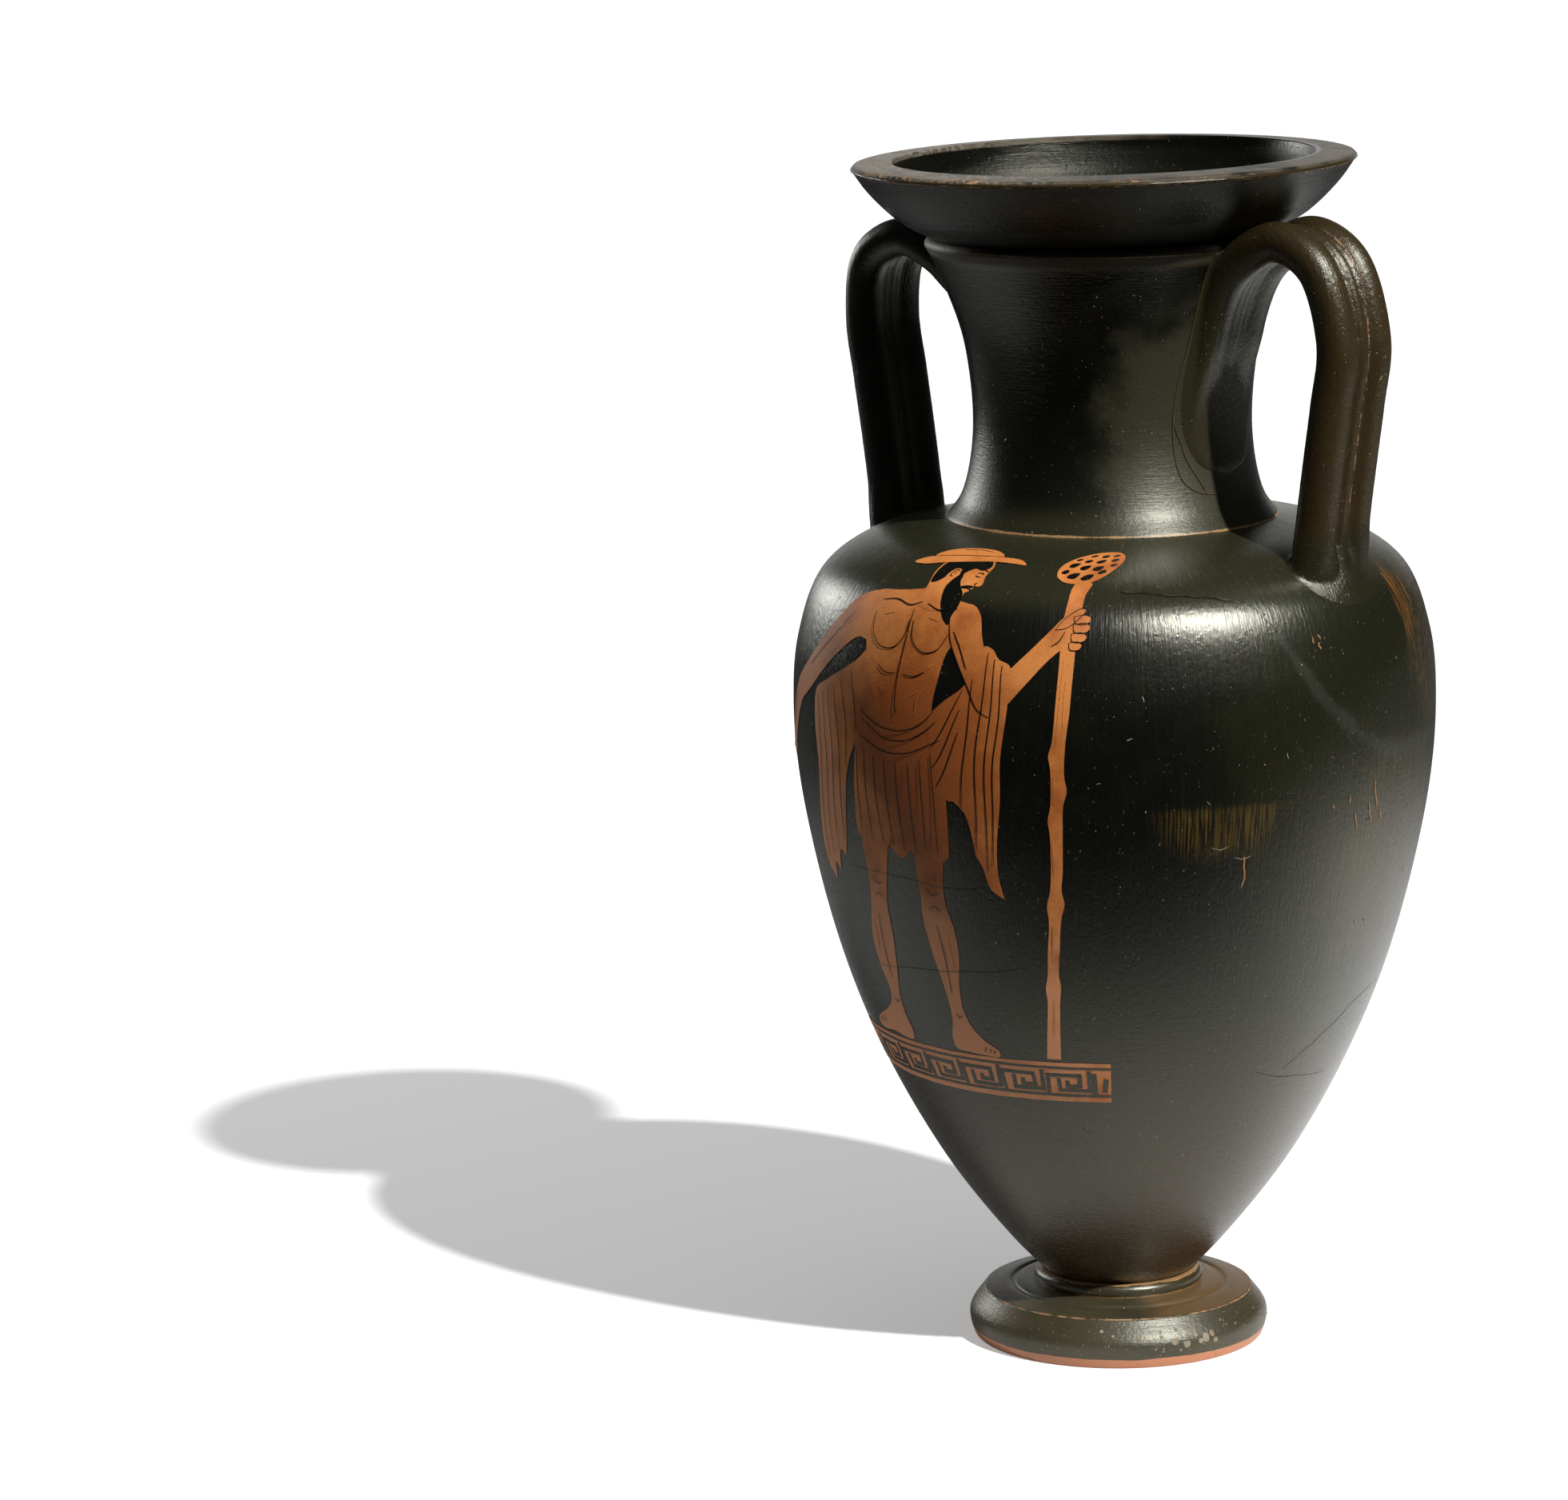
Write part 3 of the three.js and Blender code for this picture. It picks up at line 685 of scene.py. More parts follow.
def handle_path(lift):
    above = body_skin.s > body_skin.s[np.argmax(body_skin.r)]
    foot_z = np.interp(-HANDLE_ROOT_RADIUS, -body_skin.r[above], body_skin.z[above])
    height = MOUTH_BASE + lift - foot_z
    lying = [(np.interp(z, neck_skin.z, neck_skin.r) - STRAP_SUNK, z) for z in STRAP_ON_NECK]
    return smooth([*lying, *between(HANDLE_ARCH, NECK_TOP_RADIUS, HANDLE_REACH, foot_z, height),
                   *between(HANDLE_LEG, HANDLE_REACH, HANDLE_ROOT_RADIUS, foot_z, height)], 12)


def closed_grid(points):
    """Faces of a tube whose rings are the rows of points, capped at both ends."""
    rings, sides = points.shape[:2]
    faces = [(i * sides + k, i * sides + (k + 1) % sides, (i + 1) * sides + (k + 1) % sides,
              (i + 1) * sides + k) for i in range(rings - 1) for k in range(sides)]
    return faces + [tuple(range(sides))[::-1], tuple((rings - 1) * sides + k for k in range(sides))]


def strap(path):
    """The lobed strap swept along its path, in the handle's own upright plane."""
    half = np.array(STRAP_HALF)
    section = smooth([*half, *(half[-2:0:-1] * (-1, 1)), half[0]], 4)[:-1]
    step = np.gradient(path, axis=0)
    step /= np.linalg.norm(step, axis=1)[:, None]
    run = np.concatenate([[0], np.cumsum(np.linalg.norm(np.diff(path, axis=0), axis=1))])
    run /= run[-1]
    wider = 1 + STRAP_WIDER * ease(run, *STRAP_WIDENS)
    merged = ease(run, *STRAP_MERGES)
    under = STRAP_PRESSED_UNDER + (1 - STRAP_PRESSED_UNDER) * ease(run, *STRAP_RISES)
    over = under * (STRAP_PRESSED_OVER + (1 - STRAP_PRESSED_OVER) * ease(run, *STRAP_CLEARS))
    rings = []
    plain = section[:, 0] / np.abs(section[:, 0]).max()
    plain = np.sign(section[:, 1]) * STRAP_ROOT * np.sqrt(np.clip(1 - plain ** 2, 0, 1))
    for (x, z), (tx, tz), grow, low, high, merge in zip(path, step, wider, under, over, merged):
        thick = section[:, 1] + merge * (plain - section[:, 1])
        thick = thick * grow * np.where(thick > 0, high, low)
        rings.append([(x - t * tz, w * grow, z + t * tx) for w, t in zip(section[:, 0], thick)])
    rings = np.array(rings)
    least = np.interp(rings[..., 2], neck_skin.z, neck_skin.r) - STRAP_DEEPEST
    push = np.maximum(least / np.hypot(rings[..., 0], rings[..., 1]), 1)
    rings[..., :2] *= np.where(rings[..., 2] < MOUTH_BASE + 2, push, 1)[..., None]
    return rings.reshape(-1, 3), closed_grid(rings)


def slab(skin, rows, depth):
    """A closed slab on a skin, from rows of turns, distances up and lifts, down to a depth."""
    upper = np.array([skin.place(turn, s, lift)[0] for turn, s, lift in rows])
    lower = np.array([skin.place(turn, s, np.full(len(s), -depth))[0] for turn, s, _ in rows])
    count, columns = upper.shape[:2]
    index = lambda i, j, layer: layer * count * columns + i * columns + j
    faces = []
    for i in range(count - 1):
        for j in range(columns - 1):
            quad = [(i, j), (i, j + 1), (i + 1, j + 1), (i + 1, j)]
            faces.append([index(a, b, 0) for a, b in quad])
            faces.append([index(a, b, 1) for a, b in quad[::-1]])
    border = ([(0, j) for j in range(columns)] + [(i, columns - 1) for i in range(1, count)]
              + [(count - 1, j) for j in range(columns - 2, -1, -1)]
              + [(i, 0) for i in range(count - 2, 0, -1)])
    for (a, b), (c, d) in zip(border, border[1:] + border[:1]):
        faces.append([index(c, d, 0), index(a, b, 0), index(a, b, 1), index(c, d, 1)])
    return np.concatenate([upper.reshape(-1, 3), lower.reshape(-1, 3)]), faces


def tongue(shift):
    """Root smeared down the neck, as a slab on the neck's skin about the handle's plane."""
    bottom = MOUTH_BASE - TONGUE_LENGTH
    shares = smooth(TONGUE_SHARES, 12)
    across = np.linspace(-TONGUE_PAST, TONGUE_PAST, 61)
    rows = []
    for z in np.linspace(bottom - TONGUE_BELOW, MOUTH_BASE - TONGUE_SHORT, 90):
        h = (z - bottom) / TONGUE_LENGTH
        half = TONGUE_HALF_WIDTH * max(np.interp(h, shares[:, 1], shares[:, 0]), 0.05)
        thick = TONGUE_THICKNESS * (TONGUE_THIN + TONGUE_GAIN * max(h, 0))
        lift = thick * (1 - ease(abs(across), *TONGUE_SIDES)) * ease(h, *TONGUE_END) - TONGUE_SUNK
        s = np.full(len(across), neck_skin.up_to(z))
        # In the handle's plane X points out, so the turn is counted from +X toward +Y.
        turn = math.pi / 2 + (across * half + shift * ease(h, *TONGUE_BEND)) / neck_skin.radius(s)
        rows.append((turn, s, lift))
    return slab(neck_skin, rows, TONGUE_DEPTH)


def apron():
    """Clay drawn down over the shoulder below the strap, in a rounded tongue."""
    above = np.argmax(body_skin.r)
    root_s = np.interp(-HANDLE_ROOT_RADIUS, -body_skin.r[above:], body_skin.s[above:])
    across = np.linspace(-APRON_HALF_WIDTH - 2, APRON_HALF_WIDTH + 2, 70)
    rows = []
    for a in np.linspace(-APRON_DOWN - 3, APRON_UP + 1, 70):
        s = np.full(len(across), min(root_s + a, body_skin.s[-1] - 0.5))
        reach = APRON_DOWN + APRON_APEX if a < APRON_APEX else APRON_UP - APRON_APEX
        near = 1 - np.clip(np.hypot(across / APRON_HALF_WIDTH, (a - APRON_APEX) / reach), 0, 1)
        lift = APRON_HEIGHT * near ** APRON_FALL - APRON_SUNK
        rows.append((math.pi / 2 + across / HANDLE_ROOT_RADIUS, s, lift))
    return slab(body_skin, rows, APRON_DEPTH)


def make_handle(side, azimuth, finish):
    parts = (strap(handle_path(ARCH_LIFT[side])), tongue(TONGUE_SHIFT[side]), apron())
    points, faces = [], []
    for part_points, part_faces in parts:
        faces += [[len(points) + k for k in face] for face in part_faces]
        points += part_points.tolist()
    cos, sin = math.cos(azimuth), math.sin(azimuth)
    points = np.array(points) @ np.array([[cos, sin, 0], [-sin, cos, 0], [0, 0, 1]])
    rough = add_mesh(f"{side}_handle_rough", points, faces, finish)
    remesh = rough.modifiers.new("wet clay", "REMESH")
    remesh.mode, remesh.voxel_size = "VOXEL", CLAY_VOXEL * MM
    relax = rough.modifiers.new("smoothed", "SMOOTH")
    relax.factor, relax.iterations = 0.5, 20
    bpy.context.view_layer.update()
    mesh = bpy.data.meshes.new_from_object(rough.evaluated_get(bpy.context.evaluated_depsgraph_get()))
    mesh.name = f"{side}_handle"
    mesh.shade_smooth()
    mesh.materials.clear()
    bpy.data.objects.remove(rough)
    handle = add_piece(f"{side}_handle", mesh, finish)
    nodes = ("neck_root", "shoulder_root", "front_roll", "centre_ridge", "back_roll")
    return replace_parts(handle, *(f"{side}_handle_{node}" for node in nodes))


def handle_slip(side, azimuth, thick, thin, share):
    """Slip on a handle, thin where it joins, and worn to clay along the grooves beside its ridge."""
    cos, sin = math.cos(azimuth), math.sin(azimuth)

    def patches(f):
        f.out = f.plus(f.times(f.x, cos), f.times(f.y, sin))
        f.paint(SLIP_OLIVE, f.band(f.z, *HANDLE_LOW), f.band(f.out, *HANDLE_OUT), 0.85)
        f.paint(SLIP_MATT, f.band(f.out, *HANDLE_NEAR), 0.7)

    def worn(f):
        across = f.plus(f.times(f.x, -sin), f.times(f.y, cos))
        outer = f.times(f.band(f.out, *WORN_OUT), f.band(f.z, *WORN_UP))
        ragged = f.noise(f.place, *HANDLE_WEAR)
        groove = f.times(f.window(across, *WORN_GROOVE), f.band(ragged, 0.46, 0.58), 0.55)
        roll = f.times(f.window(across, *WORN_ROLL), f.band(ragged, 0.61, 0.66), 0.7)
        return f.times(f.either(groove, roll), outer)

    return slip(f"{side}_handle_slip", thick, thin, share, "up", 0.29, patches=patches, worn=worn,
                leathery=0.34)


make_foot()
make_fillet_ring()
make_body()
make_neck()
make_mouth()
for side, azimuth, colours in (("right", -HANDLE_TURN, (SLIP_BROWN, SLIP_OLIVE, 0.25)),
                               ("left", math.pi - HANDLE_TURN, (SLIP_BLACK, SLIP_OLIVE, 0.2))):
    make_handle(side, azimuth, handle_slip(side, azimuth, *colours))


# Painting. The man is drawn on the body's sheet: x round the body from the middle of the picture
# and y up it from the ground line, in millimetres. A point given twice is a sharp corner.
BODY = [
    (1.5, 137), (-4, 135.2), (-10, 134.2), (-15.5, 133.4), (-19.6, 130), (-19.4, 124), (-15.8, 117.5),
    (-15.6, 110), (-13.2, 101.5), (-14.4, 93), (-16.6, 84), (-18.2, 72), (-18.9, 60), (-18.3, 50),
    (-19.6, 42), (-22.2, 32), (-21.6, 23), (-19.6, 15.5), (-20.8, 11.5), (-24.5, 8.2), (-29.5, 5.6),
    (-33, 3.4), (-33.4, 1.2), (-31, 0.3), (-24, 0.9), (-18.5, 0.1), (-14.6, 0.4), (-13.8, 3.4),
    (-15.1, 8.5), (-15.2, 15), (-13.3, 24), (-12, 34), (-11.9, 43), (-10.4, 50), (-7.4, 62), (-3.2, 74),
    (-0.9, 80.5), (-0.9, 80.5), (0.6, 72), (2.2, 60), (2.3, 49.5), (1.7, 42), (2.5, 32), (4.1, 22),
    (4.7, 14), (4.0, 9), (2.6, 4.4), (2.9, 0.8), (7, 0.1), (12.5, -0.4), (16.8, -0.3), (17.2, 1.5),
    (13.9, 4.2), (10.8, 8), (9.1, 13.5), (9.6, 21), (11.7, 31), (11.9, 39), (10.4, 48.5), (12, 60),
    (13.2, 74), (12.9, 87), (10.9, 101), (12.3, 111), (14.2, 119), (19.5, 123.5), (20.5, 128.5),
    (16.8, 132), (11.5, 133.6), (9.2, 136.5), (9.6, 139), (4, 141),
]
ARM_BACK = [
    (-12, 133.5), (-17.5, 133), (-24.5, 130), (-32, 123.2), (-41, 114.8), (-50, 107.2), (-57, 102),
    (-62.5, 95), (-67.5, 87), (-70.8, 82), (-72.2, 78.4), (-70.6, 77), (-67.6, 79.4), (-64.2, 79.6),
    (-62.6, 83), (-57.8, 90.5), (-52.6, 96.5), (-45, 101), (-36.5, 107.5), (-28, 114), (-20, 119),
    (-15, 119),
]
UPPER_ARM = [
    (12.6, 131.5), (17.5, 132.2), (21.2, 129.2), (23.4, 123.5), (26.6, 115.8), (30.4, 108),
    (31.4, 103.4), (28.6, 101.4), (25, 103.4), (21.8, 109), (17.6, 115.6), (14.2, 121.5), (12.4, 127),
]
FOREARM = [
    (24.6, 104.5), (25.8, 101.6), (29.4, 101), (33.4, 104.8), (38.6, 111.2), (43.6, 117.6),
    (46.9, 120.9), (49.6, 123), (50.4, 127.2), (48.4, 130.2), (45, 129.6), (42.8, 126.4), (39.4, 121.8),
    (34.8, 116.4), (30.2, 111.4), (26.6, 108),
]
FINGERS = [
    [(47.4, 129.8), (50.6, 130.4), (52.4, 129.3), (51.8, 127.9), (48.6, 127.9)],
    [(48, 127.6), (51.4, 128), (53, 126.9), (52.3, 125.5), (49, 125.4)],
    [(48.2, 125), (51.2, 125.3), (52.8, 124.3), (52.1, 122.9), (49, 122.9)],
    [(48.2, 122.5), (50.6, 122.8), (52, 121.9), (51.3, 120.6), (48.9, 120.6)],
]
THUMB = [(43.6, 126), (45.4, 129.4), (48.6, 132.4), (50, 131.9), (49.2, 129.6), (46.6, 126.6)]
STAFF = [
    (42.2, 141.5), (44.1, 133), (45.6, 125), (46.9, 115), (47.2, 104), (46.6, 95.5), (45.6, 91.6),
    (46.1, 88), (45.7, 78), (44.6, 73.6), (44.8, 69.5), (43.7, 58), (42.6, 52.6), (41.2, 48.6),
    (41, 44), (38.9, 34), (37.6, 27.5), (36.2, 23.2), (35.8, 19), (33.2, 8.6), (31, 0.4), (31, 0.4),
    (35, 0.4), (35, 0.4), (36.9, 8.5), (39.4, 19.5), (40.6, 24), (40.8, 27.8), (42.2, 34), (44.6, 45),
    (46.2, 49.4), (46, 53.4), (47.1, 59), (48.3, 69), (49.2, 78), (50.4, 82), (49.9, 86.2), (50.3, 95),
    (51.2, 104), (50.9, 115), (50.1, 123), (48.9, 131), (47.2, 137), (46.4, 141.5),
]
KNOB = [
    (43.6, 141.2), (38.6, 141.8), (34.9, 144.6), (33.2, 149.2), (34.2, 154.6), (37.6, 158.4), (42, 159),
    (46, 156), (48.4, 151), (48.2, 146), (46.4, 142.4),
]
KNOB_SPOTS = [
    (36, 146.4, 1.1), (39.4, 144.6, 1.5), (43.4, 144.2, 1.6), (46, 146.6, 1.0), (36.4, 150, 1.3),
    (40, 148.6, 1.4), (43.8, 148.4, 1.3), (46.8, 150.2, 0.9), (35.6, 153.2, 0.8), (38.6, 152.4, 1.1),
    (42, 152.2, 1.2), (45.2, 153.2, 1.0), (37.8, 155.8, 0.9), (41, 155.6, 1.0), (43.6, 156.2, 0.8),
]
# Head in profile, about its own middle: u forward and v up.
HEAD_PLACE, HEAD_SIZE, HEAD_TURN = (6.6, 143.6), 0.92, -14
HEAD = [
    (-5.8, -8.5), (-8.6, -3), (-9.4, 1.6), (-8.2, 6), (-4.6, 9), (0.4, 10), (5, 8.8), (7.8, 5.8),
    (8.7, 3), (9.4, 1.2), (11.5, -2.2), (10.9, -3.1), (9.5, -3.3), (9.9, -4.4), (9.1, -4.9),
    (9.4, -5.7), (8.6, -6.6), (9.0, -8.2), (7.4, -10), (4.4, -9.8), (3, -11.8), (3.6, -15), (-4.4, -15),
    (-5, -11.6),
]
HAIR = [
    (7.2, 5.2), (5.4, 3.2), (3.2, 3.2), (1.9, 1.2), (1.4, -1.6), (0.2, -0.4), (-0.8, 1.2), (-2.8, 1),
    (-3.4, -1.8), (-3, -4), (-4.4, -6.6), (-5.8, -7.2), (-8, -2.8), (-8.7, 1.6), (-7.6, 5.6),
    (-4.2, 8.4), (0.4, 9.4), (4.8, 8.2),
]
BEARD = [
    (8.3, -6.9), (5.8, -5.2), (3.6, -3.2), (2.2, -0.8), (1.2, -0.2), (0.5, -2.6), (0.7, -6.6),
    (2.6, -10.4), (5.2, -13.8), (8, -16.4), (10.6, -17.4), (10.2, -14.6), (10.3, -11.4), (9.4, -8.6),
]
MOUSTACHE = [(9.7, -3.6), (7.6, -3.7), (5.4, -5), (4.6, -6.4), (6.8, -5.4), (9.2, -4.5)]
EYE_LINES = [
    [(5.9, 1.5), (7.2, 2.1), (8.3, 1.7)], [(6.1, 0.5), (7.2, 0.2), (8.1, 0.5)],
    [(5.6, 3.1), (7, 3.7), (8.5, 3.2)],
]
FACE_LINES = [
    [(9.6, -1.9), (9.1, -2.6), (9.7, -3.1)], [(9.3, -4.9), (8.1, -4.9)],
    [(-0.6, 0.4), (-2, 0.5), (-2.4, -1), (-1.7, -2.6), (-0.9, -2.4)], [(-1.2, -0.4), (-1.4, -1.4)],
]
BRIM = [
    (-12.4, 145.4), (-9.4, 148.4), (-3, 150.6), (6, 152), (14, 152.8), (20, 151.8), (23.2, 149),
    (20.4, 149.4), (14, 149.9), (6, 148.8), (-2, 147), (-8, 145.2),
]
CROWN = [(-7.4, 149.6), (-6, 153.2), (-1.6, 156.2), (4, 157.4), (9.4, 156.6), (13, 154.2), (14, 152)]
HAT_LINES = [[(-8.6, 149), (-2, 151), (6, 152.4), (14.4, 153)], [(-1, 155.4), (4, 156.2), (8.6, 155.6)]]
# Cloak behind the back and over both forearms, and the wrap round the hips.
CLOAK_BACK = [
    (-12, 118), (-20, 112), (-34, 105), (-40.5, 101.5), (-41.6, 94), (-40, 80), (-42.4, 66),
    (-43.8, 56), (-42, 49.4), (-42, 49.4), (-37.6, 46.4), (-37.6, 46.4), (-36.4, 52), (-33.8, 49.6),
    (-33.8, 49.6), (-31.6, 56.6), (-28.6, 55.2), (-28.6, 55.2), (-26.6, 63), (-25, 72), (-22.6, 82),
    (-18, 90), (-12, 96),
]
CLOAK_FRONT = [
    (24.8, 120.6), (27.6, 119.8), (29.6, 117.4), (33.2, 115.6), (34, 110), (33.6, 102), (32, 90),
    (31.4, 78), (29.4, 66), (28.6, 57), (29.4, 50), (29.4, 50), (25.8, 52.6), (24.4, 58.6),
    (22.6, 62.4), (22.6, 62.4), (22, 69), (20.4, 74.4), (17.4, 77.2), (17.4, 77.2), (11, 79),
    (10.4, 90), (9.8, 99.6), (14.6, 104.8), (20.6, 109.6),
]
WRAP = [
    (-15.6, 99.4), (-13.4, 98), (-6, 95.4), (2, 95.6), (8, 98.4), (11.6, 101.8), (13.6, 96), (14.8, 84),
    (15, 72), (14.2, 61), (14.2, 61), (10.6, 58.8), (8.2, 61.6), (8.2, 61.6), (4.6, 58.2), (1.2, 61.6),
    (1.2, 61.6), (-3, 58.6), (-6.8, 62.4), (-6.8, 62.4), (-11.4, 60), (-15.2, 64.6), (-15.2, 64.6),
    (-19.8, 63), (-20.2, 74), (-18.8, 86),
]
BODY_LINES = [
    [(-13.5, 130.6), (-8, 131.4), (-2.4, 130.2), (1.4, 131.6)],
    [(3.4, 131.2), (8, 129.6), (13.6, 130.4)],
    [(-14.6, 127), (-13.6, 121), (-9.6, 117.6), (-4.4, 118), (-1.4, 121.6), (-0.9, 126)],
    [(0.6, 126), (1.6, 120.6), (6, 117.4), (10.6, 118.6), (13.2, 123)],
    [(-0.4, 129), (-0.6, 120), (-1.6, 110), (-1.9, 102), (-1.6, 99.4)],
    [(-9.6, 112.6), (-6.4, 110.8), (-2.6, 110.9)], [(0, 110.9), (4, 110.6), (7.6, 112.2)],
    [(-1.9, 101.2), (-1.1, 100.6)], [(-17.2, 51.5), (-14.6, 49.4), (-12.4, 50.2)],
    [(-16.8, 45.4), (-14.6, 46.4), (-12.9, 45.4)], [(4.2, 50.6), (6.6, 48.8), (9.2, 50)],
    [(4.4, 44.4), (6.6, 45.4), (8.6, 44.2)], [(-16.6, 40), (-17.2, 30), (-16.8, 20)],
    [(6.2, 40), (6.9, 30), (6.6, 19)], [(-18.4, 13.2), (-17, 12), (-16.2, 13.4)],
    [(6.2, 12.4), (7.4, 11.2), (8.4, 12.2)], [(-31.8, 3.6), (-30.6, 2.6)], [(-30.2, 4.5), (-29.2, 3)],
    [(-28.4, 5.2), (-27.6, 3.4)], [(12.6, 0.8), (13.4, 2.6)], [(14, 0.6), (14.9, 2.1)],
    [(15.3, 0.6), (16, 1.6)],
]
CLOTH_LINES = [
    [(-15, 97), (-6, 92.6), (2, 92.8), (8.4, 95.8), (12.4, 99)],
    [(-16.4, 92.4), (-7, 89), (2, 89.2), (13.6, 94)], [(-17.6, 88), (-18.2, 76), (-17.9, 65)],
    [(-14.4, 88.4), (-14.6, 76), (-13.6, 63)], [(-10.6, 87.2), (-10.4, 75), (-9, 62.6)],
    [(-6.4, 86.6), (-6, 74), (-5, 61.8)], [(-2, 86.4), (-1.8, 74), (-1, 61.4)],
    [(2.6, 86.8), (2.8, 74), (3, 60.6)], [(6.8, 88), (7, 75), (6.6, 62)],
    [(10.6, 89.6), (11, 77), (10.6, 61.6)], [(-39, 100), (-37.6, 84), (-39.8, 66), (-40.6, 52)],
    [(-36, 101.4), (-34, 84), (-36, 66), (-36.6, 54)],
    [(-33, 102.6), (-30.4, 86), (-32, 68), (-32.4, 56)],
    [(-29.6, 104.2), (-26.6, 88), (-27.6, 72), (-28, 60)], [(-25.6, 106.4), (-22.6, 94), (-23.4, 82)],
    [(-21, 109.6), (-18.6, 101), (-17.6, 93)],
    [(26.4, 119), (26.6, 106), (24.6, 90), (24.2, 74), (23.2, 64)],
    [(28.6, 117.4), (29.2, 104), (27.4, 88), (27, 72), (26, 58)],
    [(31, 115.8), (31.6, 102), (29.8, 88), (29.2, 74), (27.6, 60)],
    [(23, 111.6), (22.4, 98), (20.4, 84), (19.8, 76)], [(20.4, 108.4), (14.6, 97), (11.2, 92)],
    [(19.8, 103), (14.2, 90.4), (11, 86)], [(19.6, 97), (15, 85.6), (12.2, 81)],
]
ARM_LINES = [
    [(14.6, 124), (17.4, 120), (20.6, 114)], [(43.6, 121.4), (45.4, 122.8), (46.4, 125.6)],
    [(-24, 126), (-34, 117), (-46, 107.4)], [(-58.4, 97.4), (-62, 91.4), (-65.6, 85.4)],
    [(-70.4, 79.4), (-68.4, 81.6)], [(-68.6, 80), (-66.6, 82.2)],
]
STAFF_LINES = [
    [(47.9, 118), (48.3, 106), (47.6, 94)], [(49.4, 112), (49.5, 100)], [(46.9, 86), (46.6, 78)],
    [(45.2, 68), (44.6, 58)], [(42, 43), (40.2, 34)], [(38, 20), (35.4, 9)],
]
MUSCLE_LINES = [
    [(-12, 108), (-9, 104.6), (-8.6, 100)], [(8.6, 108.6), (6, 104.8), (5.6, 100)],
    [(-7.4, 106.8), (-4.6, 105.4)], [(3.6, 105.4), (6, 106.8)], [(-12.6, 114.6), (-9.6, 113.4)],
    [(11, 114.6), (8.4, 113.2)], [(-11, 126.6), (-7, 127.6)], [(5.4, 127.4), (9, 126.4)],
    [(-13.8, 55), (-12.9, 52)], [(7.8, 55.6), (8.4, 52.4)], [(-19.4, 38), (-19.6, 28)],
    [(9.6, 38), (9.4, 26)],
]
# The ground line's height, and the turn of the picture's middle.
GROUND = body_skin.up_to(97.0)
FIGURE_TURN = math.radians(-40)
# Heights of the layers of paint over the body, and how far a line rises along its middle.
INLAY_LIFT, OVERLAY_LIFT, LINE_LIFT, LAYER_STEP, LINE_RISE = 0.10, 0.17, 0.29, 0.02, 0.05
RELIEF_WIDTH, DILUTE_WIDTH = 0.34, 0.26
# A line tapers to a share of its width, over its ends, more bluntly the smaller the power.
LINE_END, LINE_BLUNT, LINE_ENDS = 0.35, 0.4, (0.02, 0.98)
SPOT_SIDES, SPOT_UNEVEN = 7, (0.8, 1.15)


def on_sheet(flat, lift):
    """Points and normals on the body for points of the drawing's sheet."""
    x, y = np.array(flat, float).T
    s = GROUND + y
    return body_skin.place(FIGURE_TURN + x / body_skin.radius(s), s, np.broadcast_to(lift, len(s)))


def within(outline, points):
    """Which points lie within a closed outline."""
    hit = np.zeros(len(points), bool)
    for (x0, y0), (x1, y1) in zip(outline, np.roll(outline, -1, axis=0)):
        if y0 != y1:
            cross = (y0 > points[:, 1]) != (y1 > points[:, 1])
            hit ^= cross & (points[:, 0] < x0 + (points[:, 1] - y0) * (x1 - x0) / (y1 - y0))
    return hit


def fill(outline, spacing=2.5):
    """Triangles that fill a closed outline, with points inside it so that it can bend."""
    rows = (np.arange(a + spacing / 2, b, spacing) for a, b in zip(outline.min(0), outline.max(0)))
    grid = np.stack(np.meshgrid(*rows), -1).reshape(-1, 2)
    flat = [Vector(p) for p in (*outline, *grid[within(outline, grid)])]
    made = geometry.delaunay_2d_cdt(flat, [], [list(range(len(outline)))], 1, 1e-5)
    return np.array([tuple(v) for v in made[0]]), made[2]


def rows_of_faces(rows, columns):
    return [(i * columns + k, i * columns + k + 1, (i + 1) * columns + k + 1, (i + 1) * columns + k)
            for i in range(rows - 1) for k in range(columns - 1)]


def wander(points, amount):
    """The line with more points, each a little off it, as a crack runs."""
    return [(x + random.uniform(-amount, amount), y + random.uniform(-amount, amount))
            for x, y in smooth(points, 3)]


